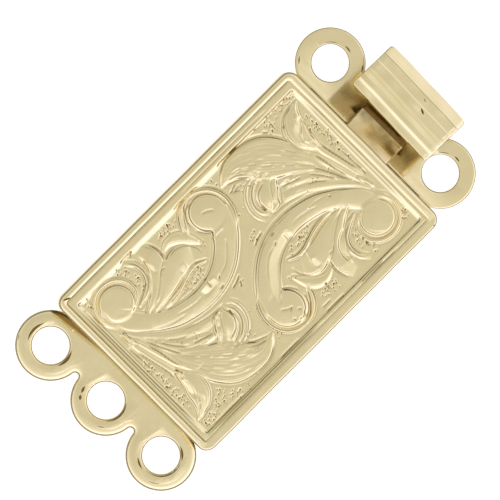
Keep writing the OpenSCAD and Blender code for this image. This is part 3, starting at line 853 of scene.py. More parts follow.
# %% [markdown]
# ### Pocket and border
#
# Round the scrolls a shallow bevel climbs to the flat border. It is broad at both ends of the panel and in
# three stretches of the upper side, where it catches the light, and elsewhere it is a short, steep step.

# %% Shape the pocket
POCKET = {"left": -7.83, "right": 7.87, "low": -4.76, "high": 4.65}
POCKET_R = 0.25
BEVEL_W = 0.25
STEP_W = 0.10
EDGE_ROUND = 0.03
EDGE_ROUND_W = 0.07


def pocket_depth():
    """How far each grid point lies inside the pocket's rounded outline, in millimetres."""
    mid_x, mid_y = (POCKET["left"] + POCKET["right"]) / 2, (POCKET["low"] + POCKET["high"]) / 2
    half_x, half_y = (POCKET["right"] - POCKET["left"]) / 2, (POCKET["high"] - POCKET["low"]) / 2
    qx = np.abs(grid_x - mid_x) - half_x + POCKET_R
    qy = np.abs(grid_y - mid_y) - half_y + POCKET_R
    outside = np.hypot(np.maximum(qx, 0), np.maximum(qy, 0)) + np.minimum(np.maximum(qx, qy), 0)
    return POCKET_R - outside


def bevel_width():
    """How wide the bevel is next to each grid point."""
    broad = np.interp(grid_x, [-7.7, -7.4, -4.8, -4.5, -4.0, -3.8, -1.0, -0.5, 0.6, 0.9, 2.2, 2.5],
                      [0, 1, 1, 0, 0, 1, 1, 0, 0, 1, 1, 0])
    to_end = np.minimum(grid_x - POCKET["left"], POCKET["right"] - grid_x)
    to_side = np.minimum(grid_y - POCKET["low"], POCKET["high"] - grid_y)
    beside_scrolls = np.where(grid_y > 0, STEP_W + (BEVEL_W - STEP_W) * broad, STEP_W)
    return np.where(to_end < to_side, BEVEL_W, beside_scrolls)


inside = pocket_depth()
fall = np.clip(inside / bevel_width(), 0, 1)
border = (BORDER_Z - GROUND_Z) * (1 - fall)
edge_far = np.minimum(PANEL_L / 2 - np.abs(grid_x - PANEL_MID[0]),
                      PANEL_W / 2 - np.abs(grid_y - PANEL_MID[1]))
edge_round = EDGE_ROUND * np.clip(1 - edge_far / EDGE_ROUND_W, 0, 1) ** 2
surface = GROUND_Z + np.maximum(raised * np.clip(inside / 0.2, 0, 1), border) - edge_round
print(f"pocket {inside.max():.2f} mm from its middle to its edge")

# %% Lay the facets
FACET_TILT_X = 0.044
FACET_TILT_Y = 0.073
BAND_EDGE_W = 0.08
BAND_END_W = 0.16


def lay_facet(x, y, half_l, half_w, turn_deg, lean):
    """Blends the surface to a small plane with soft edges that is turned to the lamp."""
    turn = math.radians(turn_deg)
    dx, dy = grid_x - x, grid_y - y
    along = np.abs(dx * math.cos(turn) + dy * math.sin(turn)) / half_l
    across = np.abs(dy * math.cos(turn) - dx * math.sin(turn)) / half_w
    share = smooth_step(np.clip((1.1 - (along ** 3 + across ** 3) ** (1 / 3)) / 0.3, 0, 1))
    level = surface[np.searchsorted(ys, y), np.searchsorted(xs, x)]
    surface[:] += share * (level + lean * (FACET_TILT_X * dx + FACET_TILT_Y * dy) - surface)


def lay_band(fall_off, rows):
    """Blends the surface along a line to a strip that falls off to one side."""
    path = smooth_path([(*row, 0) for row in rows])
    window, far, side, place = near_line(path, path[:, 2].max())
    mid_x, mid_y, width = (along_path(path, place, path[:, k]) for k in (0, 1, 2))
    run_x, run_y = (along_path(path, place, np.gradient(path[:, k])) for k in (0, 1))
    past_end = np.abs((grid_x[window] - mid_x) * run_x + (grid_y[window] - mid_y) * run_y)
    past_end /= np.hypot(run_x, run_y)
    levels = surface[np.searchsorted(ys, path[:, 1]), np.searchsorted(xs, path[:, 0])]
    levels = np.convolve(np.pad(levels, 4, mode="edge"), np.ones(9) / 9, mode="valid")
    strip = np.clip((width / 2 + 0.03 - far) / BAND_EDGE_W, 0, 1) * np.clip(1 - past_end / BAND_END_W, 0, 1)
    plane = along_path(path, place, levels) + fall_off * side * far - abs(fall_off) * width / 2
    surface[window] += strip * (np.maximum(plane, GROUND_Z) - surface[window])


for facet in FACETS:
    lay_facet(*facet)
for band in BANDS:
    lay_band(*band)
print(f"facets laid, top {surface.max():.2f} mm")

# %% [markdown]
# Parts of the ground between the scrolls were struck with a matting punch, so they are full of small dents.
# The patches are charted above, and a fixed seed scatters the dents in them. Plating rounds the sharpest
# lines, so the cuts and dents are softened a little. The deeper ones and the panel's edge are browned with
# painted shade, where the light does not reach into them.

# %% Dents, cuts and painted shade
DIE_LINE_W = 0.105
DIE_LINE_BOW = 0.02


def scatter_dents():
    """Depths of the dents in the matted patches, a grid cell or two each."""
    rng = np.random.default_rng(11)
    dents = np.zeros(grid_x.shape)
    for patch_x, patch_y, reach, count in MATTED:
        for turned in (1, -1):
            for k in range(count):
                x = turned * (patch_x + rng.normal(0, reach * 0.6))
                y = turned * (patch_y + rng.normal(0, reach * 0.6) - DESIGN_MID_Y) + DESIGN_MID_Y
                i, j = np.searchsorted(xs, x), np.searchsorted(ys, y)
                dents[j:j + 1 + (k % 2), i:i + 1 + (k % 3) // 2] = rng.uniform(0.03, 0.10)
    return dents


def soften(heights, weight):
    """One pass of a small blur, as plating rounds the sharpest lines."""
    for axis in (0, 1):
        padded = np.pad(heights, [(1, 1) if a == axis else (0, 0) for a in (0, 1)], mode="edge")
        before = padded[:-2] if axis == 0 else padded[:, :-2]
        after = padded[2:] if axis == 0 else padded[:, 2:]
        heights = heights * (1 - 2 * weight) + (before + after) * weight
    return heights


die_lines = np.zeros(grid_x.shape)
for x0, y0, x1, y1, depth in DIE_LINES:
    bow = DIE_LINE_BOW if x1 - x0 > 1 else 0.0
    line = smooth_path([(x0, y0), ((x0 + x1) / 2, (y0 + y1) / 2 + bow), (x1, y1)])
    cut_groove(die_lines, line, DIE_LINE_W, depth)
open_ground = np.clip(1.25 - raised / (0.9 * RELIEF), 0, 1) * np.clip(fall * 4 - 2, 0, 1)
dents = scatter_dents()
cuts = cuts * np.clip(fall * 3 - 0.5, 0, 1) + die_lines
surface = soften(surface - cuts, 0.15) - soften(dents, 0.10) * open_ground
# Painted shade: the deeper cuts, the dents and the crack along the panel's edge are browned.
painted_cavity_shade = np.clip((cuts - 0.010) / 0.024, 0, 1) * 0.7
painted_cavity_shade = np.maximum(painted_cavity_shade, np.clip(dents * open_ground / 0.06, 0, 1))
painted_cavity_shade = np.maximum(painted_cavity_shade, 0.6 * np.clip(1.0 - edge_far / 0.06, 0, 1))
print(f"panel surface from {surface.min():.2f} to {surface.max():.2f} mm")

# %% Model the panel
RIM_DROP = 0.2
RIM_T = 0.29


def make_panel():
    """A grid that takes the surface. Its edge goes down and is closed by a flat back."""
    bpy.ops.object.select_all(action="DESELECT")
    bpy.ops.mesh.primitive_grid_add(x_subdivisions=GRID_X, y_subdivisions=GRID_Y, size=1,
                                    location=(*PANEL_MID, 0))
    piece = name_newest("struck_panel", (PANEL_L, PANEL_W, 1))
    co = np.empty(len(piece.data.vertices) * 3)
    piece.data.vertices.foreach_get("co", co)
    co = co.reshape(-1, 3)
    i = np.rint((co[:, 0] - PANEL_MID[0] + PANEL_L / 2) / PANEL_L * GRID_X).astype(int)
    j = np.rint((co[:, 1] - PANEL_MID[1] + PANEL_W / 2) / PANEL_W * GRID_Y).astype(int)
    co[:, 2] = surface[j, i]
    piece.data.vertices.foreach_set("co", co.ravel())
    # The painted shade goes onto each vertex of the grid as a share.
    spread = piece.data.attributes.new("painted_shade", "FLOAT", "POINT")
    spread.data.foreach_set("value", painted_cavity_shade[j, i])
    piece.data.update()
    bpy.ops.object.mode_set(mode="EDIT")
    pick("EDGE", lambda e: e.is_boundary)
    bpy.ops.mesh.extrude_edges_move(TRANSFORM_OT_translate={"value": (0, 0, -RIM_DROP)})
    bpy.ops.transform.resize(value=(1, 1, 0))
    bpy.ops.transform.translate(value=(0, 0, panel_low.z + RIM_T - (BORDER_Z - RIM_DROP)))
    bpy.ops.mesh.extrude_edges_move(TRANSFORM_OT_translate={"value": (0, 0, -RIM_T)})
    bpy.ops.mesh.edge_face_add()
    close_mesh()
    return piece


panel_piece = make_panel()
finish_piece(panel_piece, "scroll_panel", "case", pressed, smooth_deg=75)

# %% [markdown]
# ## The ring plates
#
# Each end has a row of three rings, stamped with its plate from one sheet. The stamping and the barrel left
# the edges softly rounded, and that is what catches the light. The outline is laid point by point from
# arcs, filled, and raised to its thickness. A row of small insets on the top face then rounds every edge,
# and a bevel rolls the rims of the holes.

# %% Outline of a row of rings
RING_R = 1.82
NOTCH_OUT = 0.24
ARC_STEP = 0.055


def arc(cx, cy, r, start_deg, end_deg):
    """Points along an arc, without its last one."""
    count = max(4, round(abs(math.radians(end_deg - start_deg)) * r / ARC_STEP))
    turns = [math.radians(start_deg + (end_deg - start_deg) * k / count) for k in range(count)]
    return [(cx + r * math.cos(t), cy + r * math.sin(t)) for t in turns]


def ring_row_outline(centres, edge_x):
    """The outside of a row of rings left of its edge, from the top of the edge round to its foot."""
    points = []
    reach = edge_x - centres[0][0]
    first = math.degrees(math.acos(min(reach / RING_R, 1)))
    pitch = abs(centres[0][1] - centres[-1][1]) / (len(centres) - 1) / 2
    touch = math.degrees(math.atan2(pitch, NOTCH_OUT))
    notch_r = math.hypot(pitch, NOTCH_OUT) - RING_R
    for k, (cx, cy) in enumerate(centres):
        last = k == len(centres) - 1
        points += arc(cx, cy, RING_R, first if k == 0 else 180 - touch, 360 - first if last else 180 + touch)
        if not last:
            points += arc(cx - NOTCH_OUT, cy - pitch, notch_r, touch, -touch)
    points.append((edge_x, centres[-1][1] - math.sqrt(max(RING_R ** 2 - reach ** 2, 0))))
    return points


# %% Raise a plate and punch its holes
EDGE_STEPS = 6
ON_RIM = 0.004


def raise_plate(name, outline, low_z, high_z, edge_w, edge_drop):
    """A flat plate whose upper edge falls off softly."""
    piece = face_from(name, [(x, y, low_z) for x, y in outline])
    extrude(0, 0, high_z - edge_drop - low_z)
    for k in range(EDGE_STEPS):
        a, b = (math.pi / 2 * s / EDGE_STEPS for s in (k, k + 1))
        bpy.ops.mesh.inset(thickness=edge_w * (math.cos(a) - math.cos(b)), depth=0)
        bpy.ops.transform.translate(value=(0, 0, edge_drop * (math.sin(b) - math.sin(a))))
    close_mesh()
    return piece


def punch_holes(piece, holes, roll_w):
    """Punches round holes through a plate, and rolls their upper edges."""
    for x, y, r in holes:
        bpy.ops.object.select_all(action="DESELECT")
        bpy.ops.mesh.primitive_cylinder_add(vertices=96, radius=r, depth=6, location=(x, y, 0))
        cut_with(piece, name_newest("punch"))
    open_mesh(piece)
    heights = [v.co.z for v in piece.data.vertices]
    mid_z = (min(heights) + max(heights)) / 2

    def round_hole(v):
        return any(abs(math.hypot(v.co.x - x, v.co.y - y) - r) < ON_RIM for x, y, r in holes)

    def on_rim(edge):
        upper = middle(edge).z > mid_z and abs(edge.verts[0].co.z - edge.verts[1].co.z) < 0.2
        sharp = len({round(f.normal.z) for f in edge.link_faces}) > 1
        return upper and sharp and all(round_hole(v) for v in edge.verts)

    pick("EDGE", on_rim)
    bpy.ops.mesh.bevel(offset=roll_w, segments=4, affect="EDGES")
    close_mesh()


def crescent(piece, marks, rings, high_z):
    """Cuts crescents round ring holes: ring, radius, width, from and to in degrees. Their brown finish paints the
    dark reflections that lie round the holes.
    """
    shares = [k / 16 for k in range(17)]
    for ring, r, width, start_deg, end_deg in marks:
        x, y = rings[ring][:2]
        arm = [(math.radians(start_deg + (end_deg - start_deg) * s), width / 2 * math.sin(math.pi * s))
               for s in shares]
        outline = [(x + (r + w) * math.cos(t), y + (r + w) * math.sin(t)) for t, w in arm]
        outline += [(x + (r - w) * math.cos(t), y + (r - w) * math.sin(t)) for t, w in arm[-2:0:-1]]
        burin = face_from("burin", [(px, py, high_z - NICK_DEPTH) for px, py in outline])
        extrude(0, 0, 0.4)
        close_mesh()
        cut_painted_shade(piece, burin)


def bore_places(prefix):
    """Middle and radius of each ring hole at one end, from the top one down, in millimetres."""
    found = [m for name, m in bores.items() if name.startswith(prefix)]
    rows = [(m["pos_m"][0] / MM, m["pos_m"][1] / MM, m["dims"]["r_mm"]) for m in found]
    return sorted(rows, key=lambda row: -row[1])


box_holes, tongue_holes = bore_places("box_ring"), bore_places("tongue_ring")
print("ring holes at x", [round(x, 2) for x, y, r in (box_holes[0], tongue_holes[0])])

# %% Back plate and its rings
back_low, back_high = node_box("back_plate")
back_mid = (back_low.z + back_high.z) / 2
PLATE_L = 16.9
PLATE_W = 10.9
PLATE_EDGE_W = 0.42
PLATE_EDGE_DROP = 0.2
PLATE_ROLL_W = 0.13
BOX_X = -8.5
BACK_MARKS = [
    (0, 1.2, 0.13, 122, 60), (0, 1.1, 0.15, 243, 302), (0, 1.72, 0.06, 128, 112), (1, 1.33, 0.14, 134, 121),
    (1, 1.31, 0.13, 118, 100), (1, 1.06, 0.09, 222, 310), (1, 1.38, 0.04, 205, 222),
    (2, 1.19, 0.1, 138, 170), (2, 1.07, 0.06, 175, 300), (2, 1.09, 0.11, 298, 343),
    (2, 1.45, 0.03, 195, 225),
]


def dent_line(y):
    """Where the dent along the box wall starts. It is widest at the upper end."""
    return -8.57 - 0.39 * ramp(y, 1.8, 4.9) - 0.16 * ramp(y, -3.9, -4.9)


def wall_dip(co):
    """The plate sinks a little where it meets the box wall."""
    crease_x = dent_line(co.y)
    run = min(max(co.x - crease_x, 0), BOX_X - crease_x)
    return co - Vector((0, 0, 0.36 * run + 0.10 * run * run if co.z > back_mid else 0.0))


def square_edge(co):
    """Under the box the plate's edge was never rounded."""
    under = ramp(co.x, BOX_X, BOX_X + 0.1) if co.z > back_mid else 0.0
    return Vector((co.x, co.y, co.z + under * (max(co.z, back_high.z - 0.015) - co.z)))


def dent_painted_shadow(co):
    """Painted shadow: browns the dent along the box wall, where the box's side shades the plate."""
    crease_x = dent_line(co.y)
    return 0.9 * ramp(co.x, crease_x, crease_x + 0.12) * ramp(co.x, -8.4, -8.45) * (co.z > back_mid)


def make_back_plate():
    edge_x = -PLATE_L / 2
    corner_x, corner_y = edge_x + CORNER_R, PLATE_W / 2 - CORNER_R
    outline = arc(corner_x, corner_y, CORNER_R, 90, 180) + [(edge_x, corner_y)]
    outline += ring_row_outline([(x, y) for x, y, r in box_holes], edge_x)
    outline += arc(corner_x, -corner_y, CORNER_R, 180, 270)
    outline += arc(-corner_x, -corner_y, CORNER_R, 270, 360)
    outline += arc(-corner_x, corner_y, CORNER_R, 0, 90)
    piece = raise_plate("back_plate_rings", outline, back_low.z, back_high.z, PLATE_EDGE_W, PLATE_EDGE_DROP)
    coat(piece, polished)
    punch_holes(piece, box_holes, PLATE_ROLL_W)
    crescent(piece, BACK_MARKS, box_holes, back_high.z)
    open_mesh(piece)
    slice_across(0, np.arange(-9.05, -8.45, 0.05))
    slice_across(1, np.arange(-5.0, 5.1, SLICE_STEP))
    bpy.ops.object.mode_set(mode="OBJECT")
    move_points(piece, wall_dip)
    move_points(piece, square_edge)
    paint_shade(piece, dent_painted_shadow)
    return piece


back_piece = make_back_plate()
finish_piece(back_piece, "back_plate", "case", polished, flat_faces=True)

# %% [markdown]
# The other row of rings belongs to the tongue. Its plate lies on the tongue's lower leaf, which runs into
# the box and folds back on itself there. The leaf is a strip: a flat face that is extruded along the box and
# then spun half round about the fold.

# %% Tongue plate and its rings
tongue_low = node_box("tongue_plate")[0]
RING_PLATE_X = 8.53
RING_PLATE_T = 0.5
RING_EDGE_W = 0.14
RING_EDGE_DROP = 0.10
RING_ROLL_W = 0.08
LEAF_T = 0.35
LEAF_W = 7.6
LEAF_START = RING_PLATE_X + 0.2
FOLD_TURN = math.radians(177)
SLOPE_FOOT = 10.45
PLATE_CURVE = 0.115
NECK_CLEAR = 1.25
NECK_CLEAR_W = 0.2
# Where the painted shadow beside the neck starts and ends.
PAINTED_SHADE_LOW = -2.55
PAINTED_SHADE_HIGH = 2.92
pivot = Vector(frame["joints"][0]["pos_m"]) / MM
TONGUE_MARKS = [
    (0, 1.16, 0.08, -18, 4), (1, 1.13, 0.08, -14, 6), (0, 1.66, 0.07, -62, -48), (0, 1.62, 0.06, 122, 138),
    (0, 1.07, 0.04, 20, 60), (1, 1.07, 0.04, 18, 50),
]


def plate_lift(co):
    """The plate curves up towards the box on both sides of the neck, and stays level below the neck."""
    clear = min(max((abs(co.y - NECK_Y) - NECK_CLEAR) / NECK_CLEAR_W, 0), 1)
    return co + Vector((0, 0, PLATE_CURVE * max(SLOPE_FOOT - co.x, 0) ** 2 * clear))


def neck_shade(co):
    """Painted shadow: browns the plate on both sides of the neck, under the thumb tab."""
    beside_neck = ramp(co.y, PAINTED_SHADE_LOW, PAINTED_SHADE_LOW + 0.15) * ramp(co.y, PAINTED_SHADE_HIGH, PAINTED_SHADE_HIGH - 0.12)
    return 0.45 * beside_neck * ramp(co.x, 8.6, 8.9) * ramp(co.x, 10.25, 10.0)


def make_ring_plate():
    outline = ring_row_outline([(-x, y) for x, y, r in tongue_holes], -RING_PLATE_X)
    outline = [(-x, y) for x, y in reversed(outline)]
    top = tongue_low.z + RING_PLATE_T
    piece = raise_plate("tongue_rings", outline, tongue_low.z, top, RING_EDGE_W, RING_EDGE_DROP)
    coat(piece, polished)
    punch_holes(piece, tongue_holes, RING_ROLL_W)
    crescent(piece, TONGUE_MARKS, [tongue_holes[0], tongue_holes[-1]], top)
    open_mesh(piece)
    slice_across(0, np.arange(RING_PLATE_X + 0.1, SLOPE_FOOT + 0.05, 0.1))
    slice_across(1, [NECK_Y + side * (NECK_CLEAR + 0.05 * k) for side in (-1, 1) for k in range(5)])
    slice_across(1, [PAINTED_SHADE_LOW, PAINTED_SHADE_LOW + 0.15, PAINTED_SHADE_HIGH - 0.12, PAINTED_SHADE_HIGH])
    bpy.ops.object.mode_set(mode="OBJECT")
    move_points(piece, plate_lift)
    paint_shade(piece, neck_shade)
    return piece


def make_lower_leaf():
    bpy.ops.object.select_all(action="DESELECT")
    bpy.ops.mesh.primitive_plane_add(size=1, location=(LEAF_START, 0, tongue_low.z + LEAF_T / 2),
                                     rotation=(0, math.pi / 2, 0))
    strip = name_newest("lower_leaf", (LEAF_T, LEAF_W, 1))
    bpy.ops.object.mode_set(mode="EDIT")
    bpy.ops.mesh.select_all(action="SELECT")
    extrude(pivot.x - LEAF_START, 0, 0)
    bpy.ops.mesh.spin(steps=16, angle=FOLD_TURN, center=pivot, axis=(0, 1, 0))
    close_mesh()
    return strip


def join(piece, *others):
    """Joins other pieces into one."""
    work_on(piece)
    for other in others:
        other.select_set(True)
    bpy.ops.object.join()


tongue_piece = make_ring_plate()
join(tongue_piece, make_lower_leaf())
finish_piece(tongue_piece, "tongue_plate", "case", polished, flat_faces=True)

# %% [markdown]
# ## The spring leaf and its thumb tab
#
# The upper half of the tongue is springy. It rises from the fold, its shoulders catch behind the end wall,
# and a narrow neck comes out through the notch. Outside, the strip steps up and is folded double into the
# thumb tab. It is modelled level and then turned up about the fold, as the spring lifts it.

# %% Sizes of the leaf and the tab
leaf_low, leaf_high = node_box("spring_leaf")
SPRING_RISE = math.radians(2.85)
LEAF_Z = 0.125
NECK_W = 2.9
NECK_END = 15.22
NECK_HUMP = 0.42
HUMP_X = 13.95
BEND_DEPTH = 0.10
CATCH_END = 13.48
TAB_X = 15.62
TAB_Z = 0.625
TAB_W = 5.45
TAB_L = 2.9
print(f"lever from {leaf_low.x:.2f} to {leaf_high.x:.2f} mm, top {leaf_high.z:.2f}")


# %% Model the leaf, the neck and the riser
def make_strip(name, x0, x1, y, width, edge_r):
    """A level strip with soft edges."""
    bpy.ops.object.select_all(action="DESELECT")
    bpy.ops.mesh.primitive_cube_add(size=1, location=((x0 + x1) / 2, y, LEAF_Z + LEAF_T / 2))
    piece = name_newest(name, (x1 - x0, width, LEAF_T))
    bpy.ops.object.mode_set(mode="EDIT")
    bpy.ops.mesh.select_all(action="SELECT")
    bpy.ops.mesh.bevel(offset=edge_r, segments=3, affect="EDGES")
    bpy.ops.object.mode_set(mode="OBJECT")
    return piece


def neck_line(x, upper):
    """Height that the neck's upper or lower face gains by x. It humps in the notch, falls towards the
    bend and dives there, where folding has thinned it, and comes up again under the tab."""
    hump = NECK_HUMP * max(0.0, 1 - ((x - HUMP_X) / 0.45) ** 2) if x < HUMP_X else NECK_HUMP
    fall = ramp(x, HUMP_X, NECK_END)
    dive = ramp(x, NECK_END, NECK_END + 0.40)
    rise = ramp(x, NECK_END + 0.46, NECK_END + 0.58)
    if upper:
        low = hump - (NECK_HUMP + 0.22) * (1 - (1 - fall) ** 1.25) - BEND_DEPTH * dive
    else:
        low = hump * (1 - fall) - 0.06 * dive
    return low + (TAB_Z - LEAF_Z - low) * rise


def neck_ripple(co):
    """The neck is a little buckled from folding, which bends the reflections on it."""
    x, y = co.x - CATCH_END, co.y - NECK_Y
    swell = 0.030 * math.sin(3.6 * x + 0.9 * y) + 0.016 * math.sin(4.4 * y - 1.2 * x)
    return swell if 0 < x < NECK_END - CATCH_END + 0.3 else 0.0


def neck_painted_shade(co):
    """Painted shade: browns the neck more towards the bend under the tab, and leaves the neck's two edges
    unbrowned.
    """
    share = (0.28 + 0.30 * ramp(co.x, 14.6, 15.2)) * ramp(abs(co.y - NECK_Y), NECK_W / 2, 1.3)
    return share * (1 + 0.5 * noise.noise(co * 3))


def make_neck():
    neck = make_strip("neck", CATCH_END - 0.4, TAB_X + 0.45, NECK_Y, NECK_W, 0.09)
    open_mesh(neck)
    slice_across(0, np.arange(CATCH_END - 0.3, TAB_X + 0.4, 0.04))
    slice_across(1, np.arange(NECK_Y - 1.3, NECK_Y + 1.31, 0.1))
    bpy.ops.object.mode_set(mode="OBJECT")
    neck.data.materials.append(drawn_strip)
    neck.data.materials.append(painted_shade)
    half_z = LEAF_Z + LEAF_T / 2
    # The riser's upper faces, under the front of the tab, take the brown finish: painted shade.
    for face in neck.data.polygons:
        if NECK_END - 0.01 < face.center.x < TAB_X + 0.1 and face.center.z > half_z:
            face.material_index = 1
    move_points(neck, lambda co: co + Vector((0, 0, neck_line(co.x, co.z > half_z) + neck_ripple(co))))
    paint_shade(neck, neck_painted_shade)
    return neck


leaf_piece = make_strip("spring_lever", 0.02, CATCH_END, 0.0, LEAF_W, 0.05)
coat(leaf_piece, drawn_strip)
neck_piece = make_neck()
print(f"neck {NECK_W} mm wide, {len(neck_piece.data.polygons)} faces")

# %% Section of the thumb tab
TAB_STRIP = 0.28
TAB_GAP = 0.08
TAB_PRESSED_X = 2.36


def tab_top(x):
    """Height of the tab's upper face: a ridge with a steep front, a groove behind it and faint steps."""
    ridge = np.interp(x, [0.12, 0.34, 0.43, 0.58, 0.63, 0.82, 1.08, 1.13, 1.32, 1.42],
                      [0.064, 0.068, 0.083, 0.146, 0.150, 0.141, 0.044, 0.030, 0.060, 0.045])
    step = -0.020 * math.exp(-((x - 1.80) / 0.035) ** 2) - 0.008 * math.exp(-((x - 2.38) / 0.04) ** 2)
    return 2 * TAB_STRIP + TAB_GAP + ridge + step


def tab_section():
    """The folded strip seen from the side, as points round its outline."""
    fold = TAB_STRIP + TAB_GAP / 2
    gap_top = TAB_STRIP + TAB_GAP
    bend_x = TAB_L - fold
    front_z = tab_top(0.12)
    upper = [(x, tab_top(x)) for x in np.arange(bend_x, 0.12, -0.022)]
    front = [(0.06, front_z - 0.02), (0.015, front_z - 0.09), (0.0, gap_top + 0.10), (0.03, gap_top + 0.02),
             (0.09, gap_top)]
    slit = [(bend_x, gap_top), (bend_x + TAB_GAP / 2, fold), (bend_x, TAB_STRIP)]
    lower = [(0.05, TAB_STRIP), (0.0, TAB_STRIP - 0.06), (0.0, 0.06), (0.06, 0.0)]
    curve = [(bend_x + fold * math.cos(t), fold + fold * math.sin(t))
             for t in np.radians(np.arange(-90, 90, 7.5))]
    # The fold was pressed flat on its upper side, which leaves a sloping face along the tab's end.
    return [(x, min(z, 2 * fold - 0.44 * (x - TAB_PRESSED_X)) if x > TAB_PRESSED_X and z > fold else z)
            for x, z in upper + front + slit + lower + curve]


# %% Model the thumb tab
TAB_CORNER = 0.22
TAB_TURN = math.radians(1.6)
TAB_EDGE_W = 0.28
TAB_NICKS = [(17.26, -0.86, 0.34, 0.10, 65), (17.75, -0.55, 0.16, 0.04, 70)]


def settle_tab(co):
    """Rounds the tab's corners, waves it a little, then sets it on the riser with its slight turn."""
    near_end = min(max(co.x, 0.0), max(TAB_L - co.x, 0.0), TAB_CORNER)
    half_w = TAB_W / 2 - TAB_CORNER + math.sqrt(TAB_CORNER ** 2 - (TAB_CORNER - near_end) ** 2)
    co = wander(Vector((co.x, co.y * half_w / (TAB_W / 2), co.z)), 1.15, 0.026)
    edge = max(abs(co.y) - (TAB_W / 2 - TAB_EDGE_W), 0) / TAB_EDGE_W
    co.z -= 0.05 * edge ** 2 if co.z > TAB_STRIP + TAB_GAP + 0.05 else 0.0
    turned = Matrix.Rotation(-TAB_TURN, 4, "Z") @ (co - Vector((TAB_L / 2, 0, 0)))
    return turned + Vector((TAB_X + TAB_L / 2, NECK_Y, TAB_Z))


def make_tab():
    half_w = TAB_W / 2
    piece = face_from("thumb_tab", [(x, -half_w, z) for x, z in tab_section()])
    extrude(0, TAB_W, 0)
    pick("EDGE", lambda e: abs(abs(middle(e).y) - half_w) < 1e-4 and e.calc_length() < 3)
    bpy.ops.mesh.bevel(offset=0.05, segments=3, affect="EDGES", clamp_overlap=True)
    slice_across(1, np.arange(-half_w + 0.3, half_w - 0.25, 0.15))
    slice_across(1, [side * (half_w - far) for side in (-1, 1) for far in (0.10, 0.15, 0.20, 0.25)])
    close_mesh()
    move_points(piece, settle_tab)
    coat(piece, drawn_strip)
    nick(piece, TAB_NICKS, TAB_Z + tab_top(1.6))
    return piece


join(leaf_piece, neck_piece, make_tab())
lift = Matrix.Translation(pivot) @ Matrix.Rotation(-SPRING_RISE, 4, "Y")
move_points(leaf_piece, lambda co: lift @ co)
finish_piece(leaf_piece, "spring_leaf", "lever", drawn_strip, flat_faces=True)

# %% [markdown]
# ## Light table, tent and camera
#
# Such a clasp is photographed on a lit opal table inside a white tent, so that hardly a shadow shows and
# the polished gold always has something white to reflect. The lens looks in through a hole above, which
# makes the level faces a shade darker than the slopes. The tent is the world's colour, and it is brighter
# towards the lamps on the left.

# %% Light table
TABLE_SIZE = 4
TABLE_Z = -0.04


def opal_acrylic():
    """Opal acrylic that is lit from below. A prism film under it sends most of the light straight up and
    little of it sideways, so from the side it is a plain grey floor."""
    material = bpy.data.materials.new("lit_opal_acrylic")
    tree = empty_tree(material)
    slant = add_node(tree, "LayerWeight", {"Blend": 0.5}).outputs["Facing"]
    strength = add_node(tree, "MapRange", {"Value": slant, "From Min": 0.02, "From Max": 0.12,
                                           "To Min": 0.88, "To Max": 0.0})
    glow = add_node(tree, "Emission", {"Color": linear("ffffff"), "Strength": strength})
    opal = add_node(tree, "BsdfDiffuse", {"Color": linear("b5b4ad")})
    add_node(tree, "OutputMaterial", {"Surface": add_node(tree, "AddShader", {0: glow, 1: opal})})
    return material


bpy.ops.object.select_all(action="DESELECT")
bpy.ops.mesh.primitive_plane_add(size=TABLE_SIZE, location=(0, 0, TABLE_Z * MM))
table = bpy.context.object
table.name = "light_table"
table.data.materials.append(opal_acrylic())
print("light table", TABLE_SIZE, "m wide")

# %% Tent
# From the table up: the tent's foot, its walls, its roof and the lens hole, as height and level.
TENT_LEVELS = [(0.0, 0.10), (0.17, 0.16), (0.27, 0.45), (0.40, 0.98), (0.58, 1.16), (0.72, 0.98),
               (0.84, 0.80), (0.95, 0.74), (1.0, 0.67)]
LAMP_SIDE = Vector((-0.35, -0.94, 0)).normalized()
LAMP_LEAN = 0.42
LAMP_TOWARD = Vector((-0.073, -0.195, 0.978))
LAMP_LEVEL = 0.6


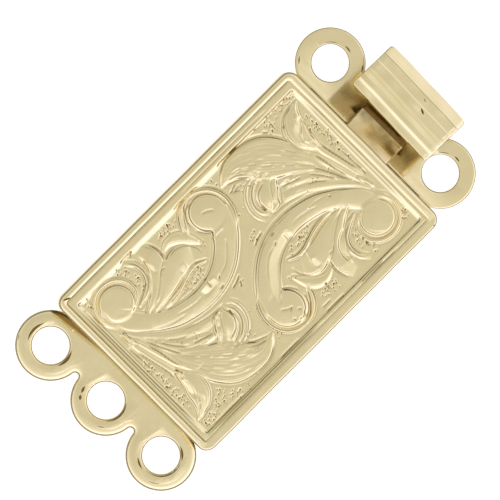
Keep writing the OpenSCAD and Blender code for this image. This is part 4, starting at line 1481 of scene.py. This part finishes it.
def make_tent():
    """A white tent: dim round the lens hole, bright on its walls, brighter towards the lamps."""
    world = bpy.data.worlds.new("tent")
    bpy.context.scene.world = world
    tree = empty_tree(world)
    toward = add_node(tree, "TexCoord").outputs["Generated"]
    up = add_node(tree, "SeparateXYZ", {"Vector": toward}).outputs["Z"]
    fade = add_node(tree, "ValToRGB", {"Fac": up})
    elements = fade.color_ramp.elements
    while len(elements) < len(TENT_LEVELS):
        elements.new(0.5)
    for element, (place, level) in zip(elements, TENT_LEVELS):
        element.position = place
        element.color = (level, level, level, 1)
    side = add_node(tree, "VectorMath", {0: toward, 1: LAMP_SIDE}, operation="DOT_PRODUCT")
    lean = add_node(tree, "Math", {0: side, 1: LAMP_LEAN, 2: 1.0}, operation="MULTIPLY_ADD")
    level = add_node(tree, "Math", {0: fade, 1: lean}, operation="MULTIPLY")
    # One lamp shines through the roof a little beside the lens, and gives the small white glints.
    to_lamp = add_node(tree, "VectorMath", {0: toward, 1: LAMP_TOWARD}, operation="DOT_PRODUCT")
    lamp = add_node(tree, "MapRange", {
        "Value": to_lamp, "From Min": math.cos(math.radians(5.5)), "From Max": math.cos(math.radians(3)),
        "To Min": 0.0, "To Max": LAMP_LEVEL}, interpolation_type="SMOOTHSTEP")
    level = add_node(tree, "Math", {0: level, 1: lamp}, operation="ADD")
    # The brightest parts of the tent, near the lamps, are also the coolest.
    cool = add_node(tree, "MapRange", {"Value": level, "From Min": 0.78, "From Max": 1.1, "To Min": 1.0,
                                       "To Max": 1.25})
    blue = add_node(tree, "Math", {0: level, 1: cool}, operation="MULTIPLY")
    colour = add_node(tree, "CombineXYZ", {"X": level, "Y": level, "Z": blue})
    light = add_node(tree, "Background", {"Color": colour, "Strength": 1.0})
    add_node(tree, "OutputWorld", {"Surface": light})
    print("tent of", len(TENT_LEVELS), "levels")


make_tent()

# %% [markdown]
# ### Camera
#
# The camera looks almost straight down. It leans three degrees towards +Y and less than one towards -X, and
# it is rolled by 45 degrees, so that the clasp lies across the picture. It was set from the ring holes and
# the corners of the box.

# %% Camera
VIEW_PIXELS = 500
PIXELS_PER_MM = 19.55
CAMERA_FAR = 400.0
LEAN_X = math.radians(2.96)
LEAN_Y = math.radians(0.78)
ROLL = math.radians(45.05)
AIM_HEIGHT = 1.5
AIM_SHIFT = (0.148, 0.547)


def make_camera():
    turn = Matrix.Rotation(ROLL, 4, "Z") @ Matrix.Rotation(LEAN_Y, 4, "Y") @ Matrix.Rotation(LEAN_X, 4, "X")
    back = turn.inverted()
    data = bpy.data.cameras.new("camera")
    data.lens = data.sensor_width * CAMERA_FAR * PIXELS_PER_MM / VIEW_PIXELS
    data.clip_start = 0.01
    data.clip_end = 10
    camera = bpy.data.objects.new("camera", data)
    bpy.context.scene.collection.objects.link(camera)
    aim = Vector((0, 0, AIM_HEIGHT)) + back @ Vector((*AIM_SHIFT, 0))
    camera.matrix_world = Matrix.Translation((aim + back @ Vector((0, 0, CAMERA_FAR))) * MM) @ back
    bpy.context.scene.camera = camera
    print(f"camera {data.lens:.0f} mm")


make_camera()
bpy.context.scene.view_settings.view_transform = "Standard"
bpy.context.scene.view_settings.look = "None"
